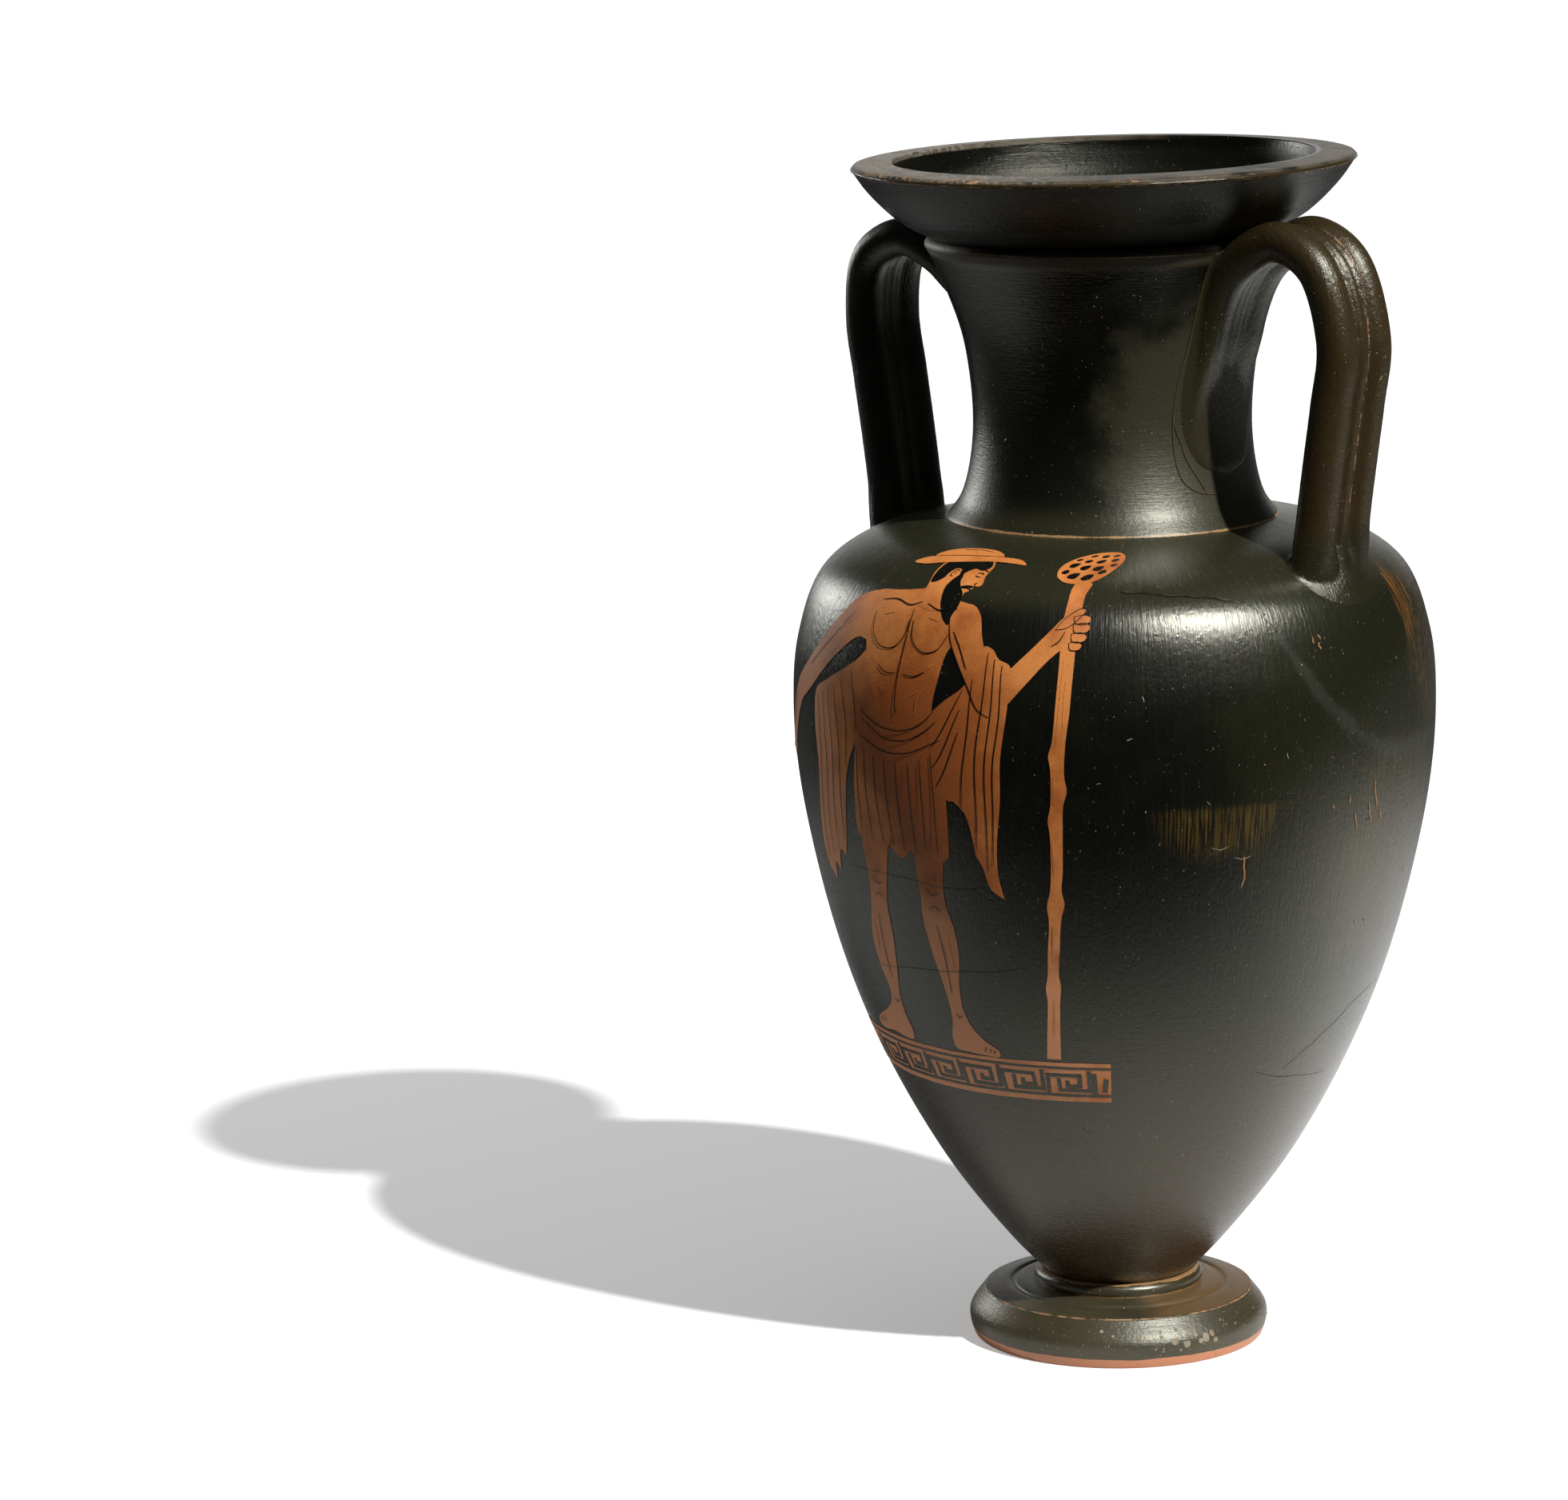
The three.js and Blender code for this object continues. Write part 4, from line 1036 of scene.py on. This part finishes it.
class Layer:
    """Painted shapes or lines of one colour, gathered into one piece on the body."""

    def __init__(self, lift):
        self.lift, self.points, self.faces, self.normals = lift, [], [], []

    def add(self, flat, faces, lift=None, place=on_sheet):
        placed, normals = place(flat, self.lift if lift is None else lift)
        self.faces += [[len(self.points) + k for k in face] for face in faces]
        self.points += placed.tolist()
        self.normals += normals.tolist()
        return self

    def shapes(self, outlines):
        for outline in outlines:
            self.add(*fill(closed(outline, 5)))
        return self

    def lines(self, lines, width, rise=LINE_RISE, stray=0, place=on_sheet):
        """Drawn lines, thinner at their ends, standing a little proud along their middle."""
        for line in lines:
            path = smooth(wander(line, stray) if stray else line, 6)
            along = np.gradient(path, axis=0)
            along /= np.maximum(np.linalg.norm(along, axis=1), 1e-9)[:, None]
            across = np.stack([-along[:, 1], along[:, 0]], 1)
            run = np.clip(np.linspace(0, 1, len(path)), *LINE_ENDS)
            full = LINE_END + (1 - LINE_END) * np.sin(math.pi * run) ** LINE_BLUNT
            half = width / 2 * full[:, None]
            flat = np.concatenate([path - across * half, path, path + across * half])
            lift = np.repeat([self.lift, self.lift + rise, self.lift], len(path))
            self.add(flat, rows_of_faces(3, len(path)), lift, place)
        return self

    def bar(self, start, end, width):
        """A straight brush stroke with square ends, reaching half its width past both points."""
        start, end = np.array(start, float), np.array(end, float)
        along = (end - start) / np.linalg.norm(end - start)
        across = np.array([-along[1], along[0]]) * width / 2
        start, end = start - along * width / 2, end + along * width / 2
        count = 2 + int(np.linalg.norm(end - start) / 2)
        flat = [start + (end - start) * t + side * across for side in (-1, 1)
                for t in np.linspace(0, 1, count)]
        return self.add(flat, rows_of_faces(2, count))

    def finish(self, name, material, slot="black_gloss"):
        return add_mesh(name, self.points, self.faces, material, normals=self.normals)


def head(points):
    cos, sin = math.cos(math.radians(HEAD_TURN)), math.sin(math.radians(HEAD_TURN))
    return [(HEAD_PLACE[0] + HEAD_SIZE * (u * cos - v * sin),
             HEAD_PLACE[1] + HEAD_SIZE * (u * sin + v * cos)) for u, v in points]


def round_spot(x, y, r):
    uneven = lambda: r * random.uniform(*SPOT_UNEVEN)
    turns = np.arange(SPOT_SIDES) * 2 * math.pi / SPOT_SIDES
    return [(x + uneven() * math.cos(a), y + uneven() * math.sin(a)) for a in turns]


def paint_figure():
    layers = [
        ("cloak_painted", [CLOAK_BACK, CLOAK_FRONT]), ("body_painted", [ARM_BACK, BODY]),
        ("wrap_painted", [WRAP, UPPER_ARM]), ("cloak_end_painted", [CLOAK_FRONT, FOREARM]),
        ("staff_painted", [STAFF, KNOB]), ("hand_painted", [*FINGERS, THUMB]),
    ]
    for i, (name, shapes) in enumerate(layers):
        Layer(INLAY_LIFT + i * LAYER_STEP).shapes(shapes).finish(name, painted_clay, "reserved_clay")
    Layer(OVERLAY_LIFT).shapes([head(HEAD)]).finish("head_painted", painted_clay, "reserved_clay")
    dark = [head(shape) for shape in (HAIR, BEARD, MOUSTACHE)] + [round_spot(*spot) for spot in KNOB_SPOTS]
    Layer(OVERLAY_LIFT + 2.5 * LAYER_STEP).shapes(dark).finish("hair_painted", painted_black)
    hat = Layer(OVERLAY_LIFT + 4.5 * LAYER_STEP).shapes([CROWN, BRIM])
    hat.finish("hat_painted", painted_clay, "reserved_clay")
    relief = Layer(LINE_LIFT)
    face = [head(line) for line in EYE_LINES + FACE_LINES]
    relief.lines(BODY_LINES + CLOTH_LINES + ARM_LINES + HAT_LINES + face, RELIEF_WIDTH)
    relief.lines([[*finger, finger[0]] for finger in [*FINGERS, THUMB]], RELIEF_WIDTH * 0.8)
    relief.lines([WRAP[:6], UPPER_ARM[7:]], RELIEF_WIDTH).finish("relief_lines", painted_black)
    dilute = Layer(LINE_LIFT).lines(MUSCLE_LINES + STAFF_LINES, DILUTE_WIDTH, 0.01)
    dilute.finish("dilute_lines", painted_brown)


# Ground line: a band of running key, between heights, from one turn to the other.
BAND_LOW, BAND_HIGH, BAND_UNEVEN = 84.1, 96.3, 0.12
BAND_START, BAND_END = math.radians(-81.0), math.radians(-1.3)
# Height and width of the lines above and below the key.
BAND_LINES = [(94.7, 0.75), (86.1, 0.95)]
KEY_TURN, KEY_FIRST = math.radians(10.85), math.radians(-5.5)
KEY_FIELD = (86.9, 93.4)
# How far short of the band's start and end its lines and keys stop, in radians.
LINE_MARGINS, KEY_MARGINS = (0.01, 0.006), (0.012, 0.008)
# The brush's width, how much it varies, and how far a stroke's corners stray, in shares of a key.
KEY_BRUSH, KEY_UNEVEN, KEY_STRAY_ROUND, KEY_STRAY_UP = 1.25, (0.9, 1.08), 0.02, 0.025
# One key as two strokes, in shares of its width and of the field's height.
KEY_STROKES = [
    [(0.04, 0), (0.04, 0.86), (0.74, 0.86), (0.74, 0.33), (0.48, 0.33), (0.48, 0.50)],
    [(0.93, 1), (0.93, 0.12), (0.28, 0.12), (0.28, 0.62)],
]


def on_band(turn, z):
    """A point of the drawing's sheet for a turn and a height."""
    y = body_skin.up_to(z) - GROUND
    return (turn - FIGURE_TURN) * body_skin.radius(GROUND + y), y


def paint_band():
    turns = np.linspace(BAND_START, BAND_END, 90)
    heights = np.linspace(BAND_LOW, BAND_HIGH, 5)
    uneven = lambda turn, z: BAND_UNEVEN * noise.noise(Vector((turn * 9, z, 0)))
    flat = [on_band(turn, z + (uneven(turn, z) if z in heights[[0, -1]] else 0))
            for z in heights for turn in turns]
    ground = Layer(INLAY_LIFT).add(flat, rows_of_faces(len(heights), len(turns)))
    ground.finish("ground_band", painted_clay, "reserved_clay")

    ink = Layer(OVERLAY_LIFT)

    def stroke(points, width):
        """Bars between points given as (turn, height)."""
        flat = [on_band(turn, z) for turn, z in points]
        for start, end in zip(flat, flat[1:]):
            ink.bar(start, end, width)

    for z, width in BAND_LINES:
        line = [(turn, z + 0.1 * noise.noise(Vector((turn * 7, z, 3)))) for turn in turns[::2]]
        kept = [point for point in line if point[0] > BAND_START + LINE_MARGINS[0]][:-1]
        stroke([*kept, (BAND_END - LINE_MARGINS[1], line[-1][1])], width)
    low, high = KEY_FIELD
    stray = lambda reach: random.uniform(-reach, reach)
    first, last = BAND_START + KEY_MARGINS[0], BAND_END - KEY_MARGINS[1]
    for i in range(int((BAND_END - BAND_START) / KEY_TURN) + 1):
        left = KEY_FIRST - i * KEY_TURN
        for points in KEY_STROKES:
            placed = [(left + (u + stray(KEY_STRAY_ROUND)) * KEY_TURN,
                       low + (v + stray(KEY_STRAY_UP)) * (high - low)) for u, v in points]
            placed = [p for p in placed if first < p[0] < last]
            stroke(placed, KEY_BRUSH * random.uniform(*KEY_UNEVEN))
    ink.finish("band_key", painted_black)


# Wear drawn on the body's sheet, from the middle of the picture and up from the ground line.
CRACKS = [
    [(55.9, 137.8), (64, 137), (71, 136.2), (81.4, 134.8), (89.5, 133.2), (96.3, 131), (102.6, 126.8),
     (107.5, 122.9)],
    [(74.8, 131.5), (75.8, 128.6), (77.4, 125), (77.8, 122.6)],
    [(61.2, 132.9), (62.3, 129.1), (64.4, 123)],
]
HAIRLINES = [
    [(-29.6, 52.4), (-6.6, 52.8), (10.5, 51.6), (25.8, 52.7)],
    [(-22.5, 23), (-0.8, 25.2), (18.5, 26.8), (33.3, 29.6)], [(-46, 101), (-43, 88), (-44.6, 76)],
    [(-55.7, 124), (-41.7, 123.4), (-30.8, 125.1)],
]
WORN_LINES = [
    [(75.6, 8.9), (82.9, -0.8), (91.4, -9.0), (103.2, -11.7), (117.3, -14.2)],
    [(98.9, -8.2), (111.8, -1.5), (124.5, 4.3), (138.2, 9.5), (154.4, 11.8)],
]
SCRATCHES = [
    [(88.5, 65.2), (91, 64.4), (93.6, 65.3)], [(94.6, 62), (97, 61.2), (99.6, 61.9)],
    [(88.2, 78.6), (89.4, 77.4)], [(70.4, 108), (71.2, 106.4)], [(66.8, 96.2), (68.4, 96.6)],
    [(112.6, 90), (112.9, 88.4)], [(58.6, 84.2), (59.8, 84.4)],
]
RUST_MARKS = [
    [(136.3, 69.6), (136.5, 68), (136.9, 65.2)], [(142.5, 72), (142.8, 68), (143.3, 66.1)],
    [(145.4, 78), (145.7, 74.2), (146.1, 70)], [(134.3, 75), (134.5, 72.8)], [(147.7, 68.5), (148, 66)],
    [(127.8, 73.5), (128.2, 72.4)], [(164.1, 67.4), (164.4, 65.6)], [(164.2, 47.7), (164.8, 46)],
    [(133.9, 36.3), (134.9, 36)], [(139.1, 35.7), (139.9, 35.2)], [(118.8, 120.5), (119.6, 119)],
    [(121.2, 118.6), (122.4, 116.8)], [(120.6, 121), (121.6, 119.8)],
]
DRIP = [(97.6, 62), (97.2, 58.5), (96.8, 55.4), (95.6, 53)]
# The same on the neck, as turn in degrees and height: the tongue's edge and a crack beside it.
TONGUE_EDGE = [
    (35.7, 310.7), (32.5, 297.8), (27.8, 282.9), (25.9, 275.6), (25.1, 268.9), (26, 258.9),
    (28.8, 252.8), (35.4, 249.4), (45.2, 248.3),
]
NECK_CRACK = [(24.7, 271.2), (30.4, 259.8), (39.1, 248.7)]
# Lime crust on the foot, as turn in degrees, height and radius.
CRUST = [
    (22, 7.4, 1.1), (27, 6.2, 0.9), (31, 8.4, 0.7), (35.5, 7.2, 1.3), (40, 6.0, 0.9), (38.5, 8, 0.9),
    (33, 6.6, 0.8), (17, 8.8, 0.6), (8, 9.2, 0.8),
]
# Finer grains of it: their number, middle turn, spread and heights, the smallest radius and what
# chance adds to that. Lumps rise from their rim by a lift that grows toward their middle.
CRUST_GRAINS, CRUST_TURN, CRUST_SPREAD, CRUST_HEIGHTS = 60, 24.0, 24.0, (3.6, 11.5)
CRUST_LEAST, CRUST_MORE, CRUST_RIM, CRUST_RISE = 0.16, 0.4, 0.06, 0.34
CRACK_WIDTH, HAIRLINE_WIDTH, WORN_WIDTH, SCRATCH_WIDTH, RUST_WIDTH = 0.36, 0.2, 0.3, 0.16, 0.46
SEAM_WIDTH, NECK_CRACK_WIDTH, DRIP_WIDTH = 0.4, 0.35, 0.5
# Painted highlight on the lower edge of parts of each crack: of three points in five, this far off it.
EDGE_WIDTH, EDGE_POINTS, EDGE_EVERY, EDGE_OFF = 0.26, 3, 5, (0.1, 0.3)


def on_neck(flat, lift):
    """Points and normals on the neck for distances round its waist and up its outline."""
    x, s = np.array(flat, float).T
    return neck_skin.place(x / NECK_WAIST_RADIUS, s, np.broadcast_to(lift, len(s)))


def neck_sheet(points):
    return [(math.radians(turn) * NECK_WAIST_RADIUS, neck_skin.up_to(z)) for turn, z in points]


def paint_wear_and_crack_highlights():
    dark, light = Layer(OVERLAY_LIFT), Layer(OVERLAY_LIFT - 0.02)
    for line in CRACKS:
        line = wander(line, 0.35)
        dark.lines([line], CRACK_WIDTH, 0.02)
        # Beside the crack, a lighter line painted as a highlight on its edge.
        beside = [(x + EDGE_OFF[0], y + EDGE_OFF[1]) for x, y in line]
        starts = range(0, len(line) - EDGE_POINTS, EDGE_EVERY)
        light.lines([beside[start:start + EDGE_POINTS] for start in starts], EDGE_WIDTH, 0.06)
    light.lines(WORN_LINES, WORN_WIDTH, 0.03, 0.3)
    dark.lines(HAIRLINES, HAIRLINE_WIDTH, 0.02, 0.25)
    dark.finish("cracks", painted_black)
    light.finish("crack_highlights_and_worn_lines", worn_line_and_highlight_slip)
    neck = Layer(OVERLAY_LIFT + 0.1).lines([neck_sheet(TONGUE_EDGE)], SEAM_WIDTH, 0.12, place=on_neck)
    neck.lines([neck_sheet(NECK_CRACK)], NECK_CRACK_WIDTH, 0.1, 0.3, on_neck)
    neck.finish("tongue_seam", seam_brown)
    Layer(OVERLAY_LIFT).lines(SCRATCHES, SCRATCH_WIDTH, 0.02, 0.08).finish("scratches", pale_dust)
    rust = Layer(OVERLAY_LIFT).lines(RUST_MARKS, RUST_WIDTH, 0.02, 0.2)
    rust.lines([DRIP], DRIP_WIDTH, 0.02, 0.15).finish("rust_marks", rust_marks)


def paint_crust():
    """Lumps of lime left on the foot."""
    foot_skin = Skin(foot_side)
    place = lambda points, lift: foot_skin.place(points[:, 0] / FOOT_RADIUS, points[:, 1], lift)
    lumps = Layer(0)
    grains = [(random.gauss(CRUST_TURN, CRUST_SPREAD), random.uniform(*CRUST_HEIGHTS),
               CRUST_LEAST + CRUST_MORE * random.random() ** 3) for _ in range(CRUST_GRAINS)]
    for turn, z, radius in CRUST + grains:
        x, y = math.radians(turn) * FOOT_RADIUS, foot_skin.up_to(z)
        rim = np.array(closed(round_spot(x, y, radius), 4))
        flat, faces = fill(rim, radius / 2.5)
        edge = np.min(np.linalg.norm(flat[:, None] - rim[None], axis=2), axis=1)
        lumps.add(flat, faces, CRUST_RIM + CRUST_RISE * np.sqrt(edge / radius), place)
    lumps.finish("lime_crust", crust_grey)


painted_clay = clay("painted_clay", stains=STAINS, painted_light=PAINTED_LIGHT_AREAS)
painted_black = slip("painted_black", SLIP_BLACK, SLIP_OLIVE, 0.2, gloss=0.24)
painted_brown = clay("painted_brown", 1.0)
# Pale worn lines, and painted highlights along the edges of cracks.
worn_line_and_highlight_slip = slip("worn_line_and_highlight_slip", FOOT_BROWN, LIP_BROWN)
seam_brown = clay("seam_brown", 0.5, pale=STREAK_BROWN, dark=SLIP_BROWN)
pale_dust = clay("pale_dust", 0.5, 0.7, pale=DUST, dark=FOOT_BROWN)
rust_marks = clay("rust_marks", 0.6, 0.6, pale=RUST_PALE, dark=RUST_BROWN)
crust_grey = clay("crust_grey", 0.6, 0.7, pale=CRUST_GREY, dark=RUST_BROWN)
paint_figure()
paint_band()
paint_wear_and_crack_highlights()
paint_crust()


# The studio: a hard key, a soft box behind on the left, and a room that is bright overhead and
# dark behind the camera. Radiances, with white at 1.
KEY_DIRECTION, KEY_STRENGTH, KEY_ANGLE = Vector((0.488, -0.513, 0.706)), 3.75, math.radians(1.7)
BOX_DIRECTION, BOX_DISTANCE = Vector((-0.68, 0.70, 0.21)), 1.3
BOX_RADIANCE, BOX_SIZE = 9.0, (0.36, 0.30)
SKY_LEVEL, SKY_OVERHEAD, SKY_FOCUS = 0.01, 0.55, 3.0
MIRRORED_FRONT, MIRRORED_BACK, MIRRORED_BAND = 0.015, 0.75, (0.9, 0.985)
# Paper: its colour and its glow as the camera sees it, and its colour as the vase sees it, which
# fades toward the table's edge.
FLOOR_HALF = 4.0
PAPER, PAPER_GLOW = 0.82, 0.27
PAPER_BOUNCE, PAPER_MIRRORED = 0.78, 0.74
TABLE_FRONT, TABLE_BACK, TABLE_LEFT = (-300.0, -60.0), (200.0, 600.0), (-160.0, 60.0)
TABLE_REACH = (860.0, 220.0)
FAR_SHARE, BACK_SHARE, LEFT_SHARE = 0.07, 0.05, 0.46
# Where the key falls hardest, right of the vase, the paper glows more in the vase.
HOT, HOT_X, HOT_Y, HOT_REACH = 0.6, (-20.0, 120.0), (-90.0, 50.0), (860.0, 180.0)


def make_stage():
    corners = [(x * FLOOR_HALF, y * FLOOR_HALF, 0) for x, y in ((-1, -1), (1, -1), (1, 1), (-1, 1))]
    mesh = bpy.data.meshes.new("floor")
    mesh.from_pydata(corners, [], [(0, 1, 2, 3)])
    f = Finish("white_floor")
    ray = f.node("LightPath").outputs
    camera, glossy = ray["Is Camera Ray"], ray["Is Glossy Ray"]
    away = f.length(f.x, f.y)
    behind = f.times(f.band(f.y, *TABLE_BACK), BACK_SHARE)
    left = f.times(f.band(f.x, *TABLE_LEFT), 1 - LEFT_SHARE)
    lit = f.times(f.either(f.band(away, *TABLE_REACH), f.plus(behind, FAR_SHARE)), f.plus(left, LEFT_SHARE),
                  f.band(f.y, *TABLE_FRONT))
    hot = f.times(f.band(f.x, *HOT_X), f.band(f.y, *HOT_Y), f.band(away, *HOT_REACH), HOT)
    grey = lambda level: f.node("CombineColor", level, level, level).outputs[0]
    f.colour = f.mix(glossy, grey(f.times(lit, PAPER_BOUNCE)), grey(f.times(lit, PAPER_MIRRORED)))
    f.paint((PAPER,) * 3, camera)
    glow = f.plus(f.times(camera, PAPER_GLOW), f.times(glossy, hot))
    mesh.materials.append(f.done(Roughness=0.9, Specular_IOR_Level=0.0, Emission_Color=(1, 1, 1, 1),
                                 Emission_Strength=glow))
    stage = bpy.data.objects.new("floor", mesh)
    bpy.context.scene.collection.objects.link(stage)


def make_world():
    world = bpy.data.worlds.new("studio")
    bpy.context.scene.world = world
    world.use_nodes = True
    world.node_tree.nodes.clear()
    f = Nodes(world.node_tree)
    ray = f.node("LightPath").outputs
    direction = f.node("SeparateXYZ", f.node("TexCoord").outputs["Generated"]).outputs
    up = f.math("POWER", f.math("MAXIMUM", direction["Z"], 0.0), SKY_FOCUS)
    sky = f.math("MULTIPLY_ADD", up, SKY_OVERHEAD, SKY_LEVEL)
    back = f.band(direction["Y"], *MIRRORED_BAND, MIRRORED_FRONT, MIRRORED_BACK, "LINEAR")
    light = lambda level: f.node("Background", (1, 1, 1, 1), level).outputs[0]
    lit = f.node("MixShader", ray["Is Glossy Ray"], light(sky), light(back)).outputs[0]
    f.node("OutputWorld", f.node("MixShader", ray["Is Camera Ray"], lit, light(1.0)).outputs[0])


def make_lights():
    key = bpy.data.lights.new("key", "SUN")
    key.energy, key.angle = KEY_STRENGTH, KEY_ANGLE
    box = bpy.data.lights.new("soft_box", "AREA")
    box.shape = "RECTANGLE"
    box.size, box.size_y = BOX_SIZE
    box.energy = BOX_RADIANCE * math.pi * BOX_SIZE[0] * BOX_SIZE[1]
    for light, direction, distance in ((key, KEY_DIRECTION, 2), (box, BOX_DIRECTION, BOX_DISTANCE)):
        lamp = bpy.data.objects.new(light.name, light)
        lamp.rotation_mode = "QUATERNION"
        lamp.rotation_quaternion = direction.to_track_quat("Z", "Y")
        lamp.location = direction.normalized() * distance + Vector((0, 0, RIM * MM / 2))
        bpy.context.scene.collection.objects.link(lamp)


CAMERA_PLACE = Vector((0, -1.6887, 0.4954))
CAMERA_YAW, CAMERA_PITCH, CAMERA_ROLL = (math.radians(a) for a in (-3.194, 10.85, -1.0))
CAMERA_LENS, CAMERA_SENSOR, CAMERA_NEAR, CAMERA_FAR = 138.44, 36, 0.05, 50


def make_camera():
    data = bpy.data.cameras.new("camera")
    data.lens, data.sensor_width = CAMERA_LENS, CAMERA_SENSOR
    data.clip_start, data.clip_end = CAMERA_NEAR, CAMERA_FAR
    camera = bpy.data.objects.new("camera", data)
    forward = Vector((math.sin(CAMERA_YAW) * math.cos(CAMERA_PITCH),
                      math.cos(CAMERA_YAW) * math.cos(CAMERA_PITCH), -math.sin(CAMERA_PITCH)))
    level = Vector((math.cos(CAMERA_YAW), -math.sin(CAMERA_YAW), 0))
    upright = level.cross(forward)
    right = math.cos(CAMERA_ROLL) * level + math.sin(CAMERA_ROLL) * upright
    up = math.cos(CAMERA_ROLL) * upright - math.sin(CAMERA_ROLL) * level
    turned = Matrix((right, up, -forward)).transposed().to_4x4()
    camera.matrix_world = Matrix.Translation(CAMERA_PLACE) @ turned
    bpy.context.scene.collection.objects.link(camera)
    bpy.context.scene.camera = camera


make_stage()
make_world()
make_lights()
make_camera()
bpy.context.scene.view_settings.view_transform = "Standard"

bpy.context.view_layer.update()
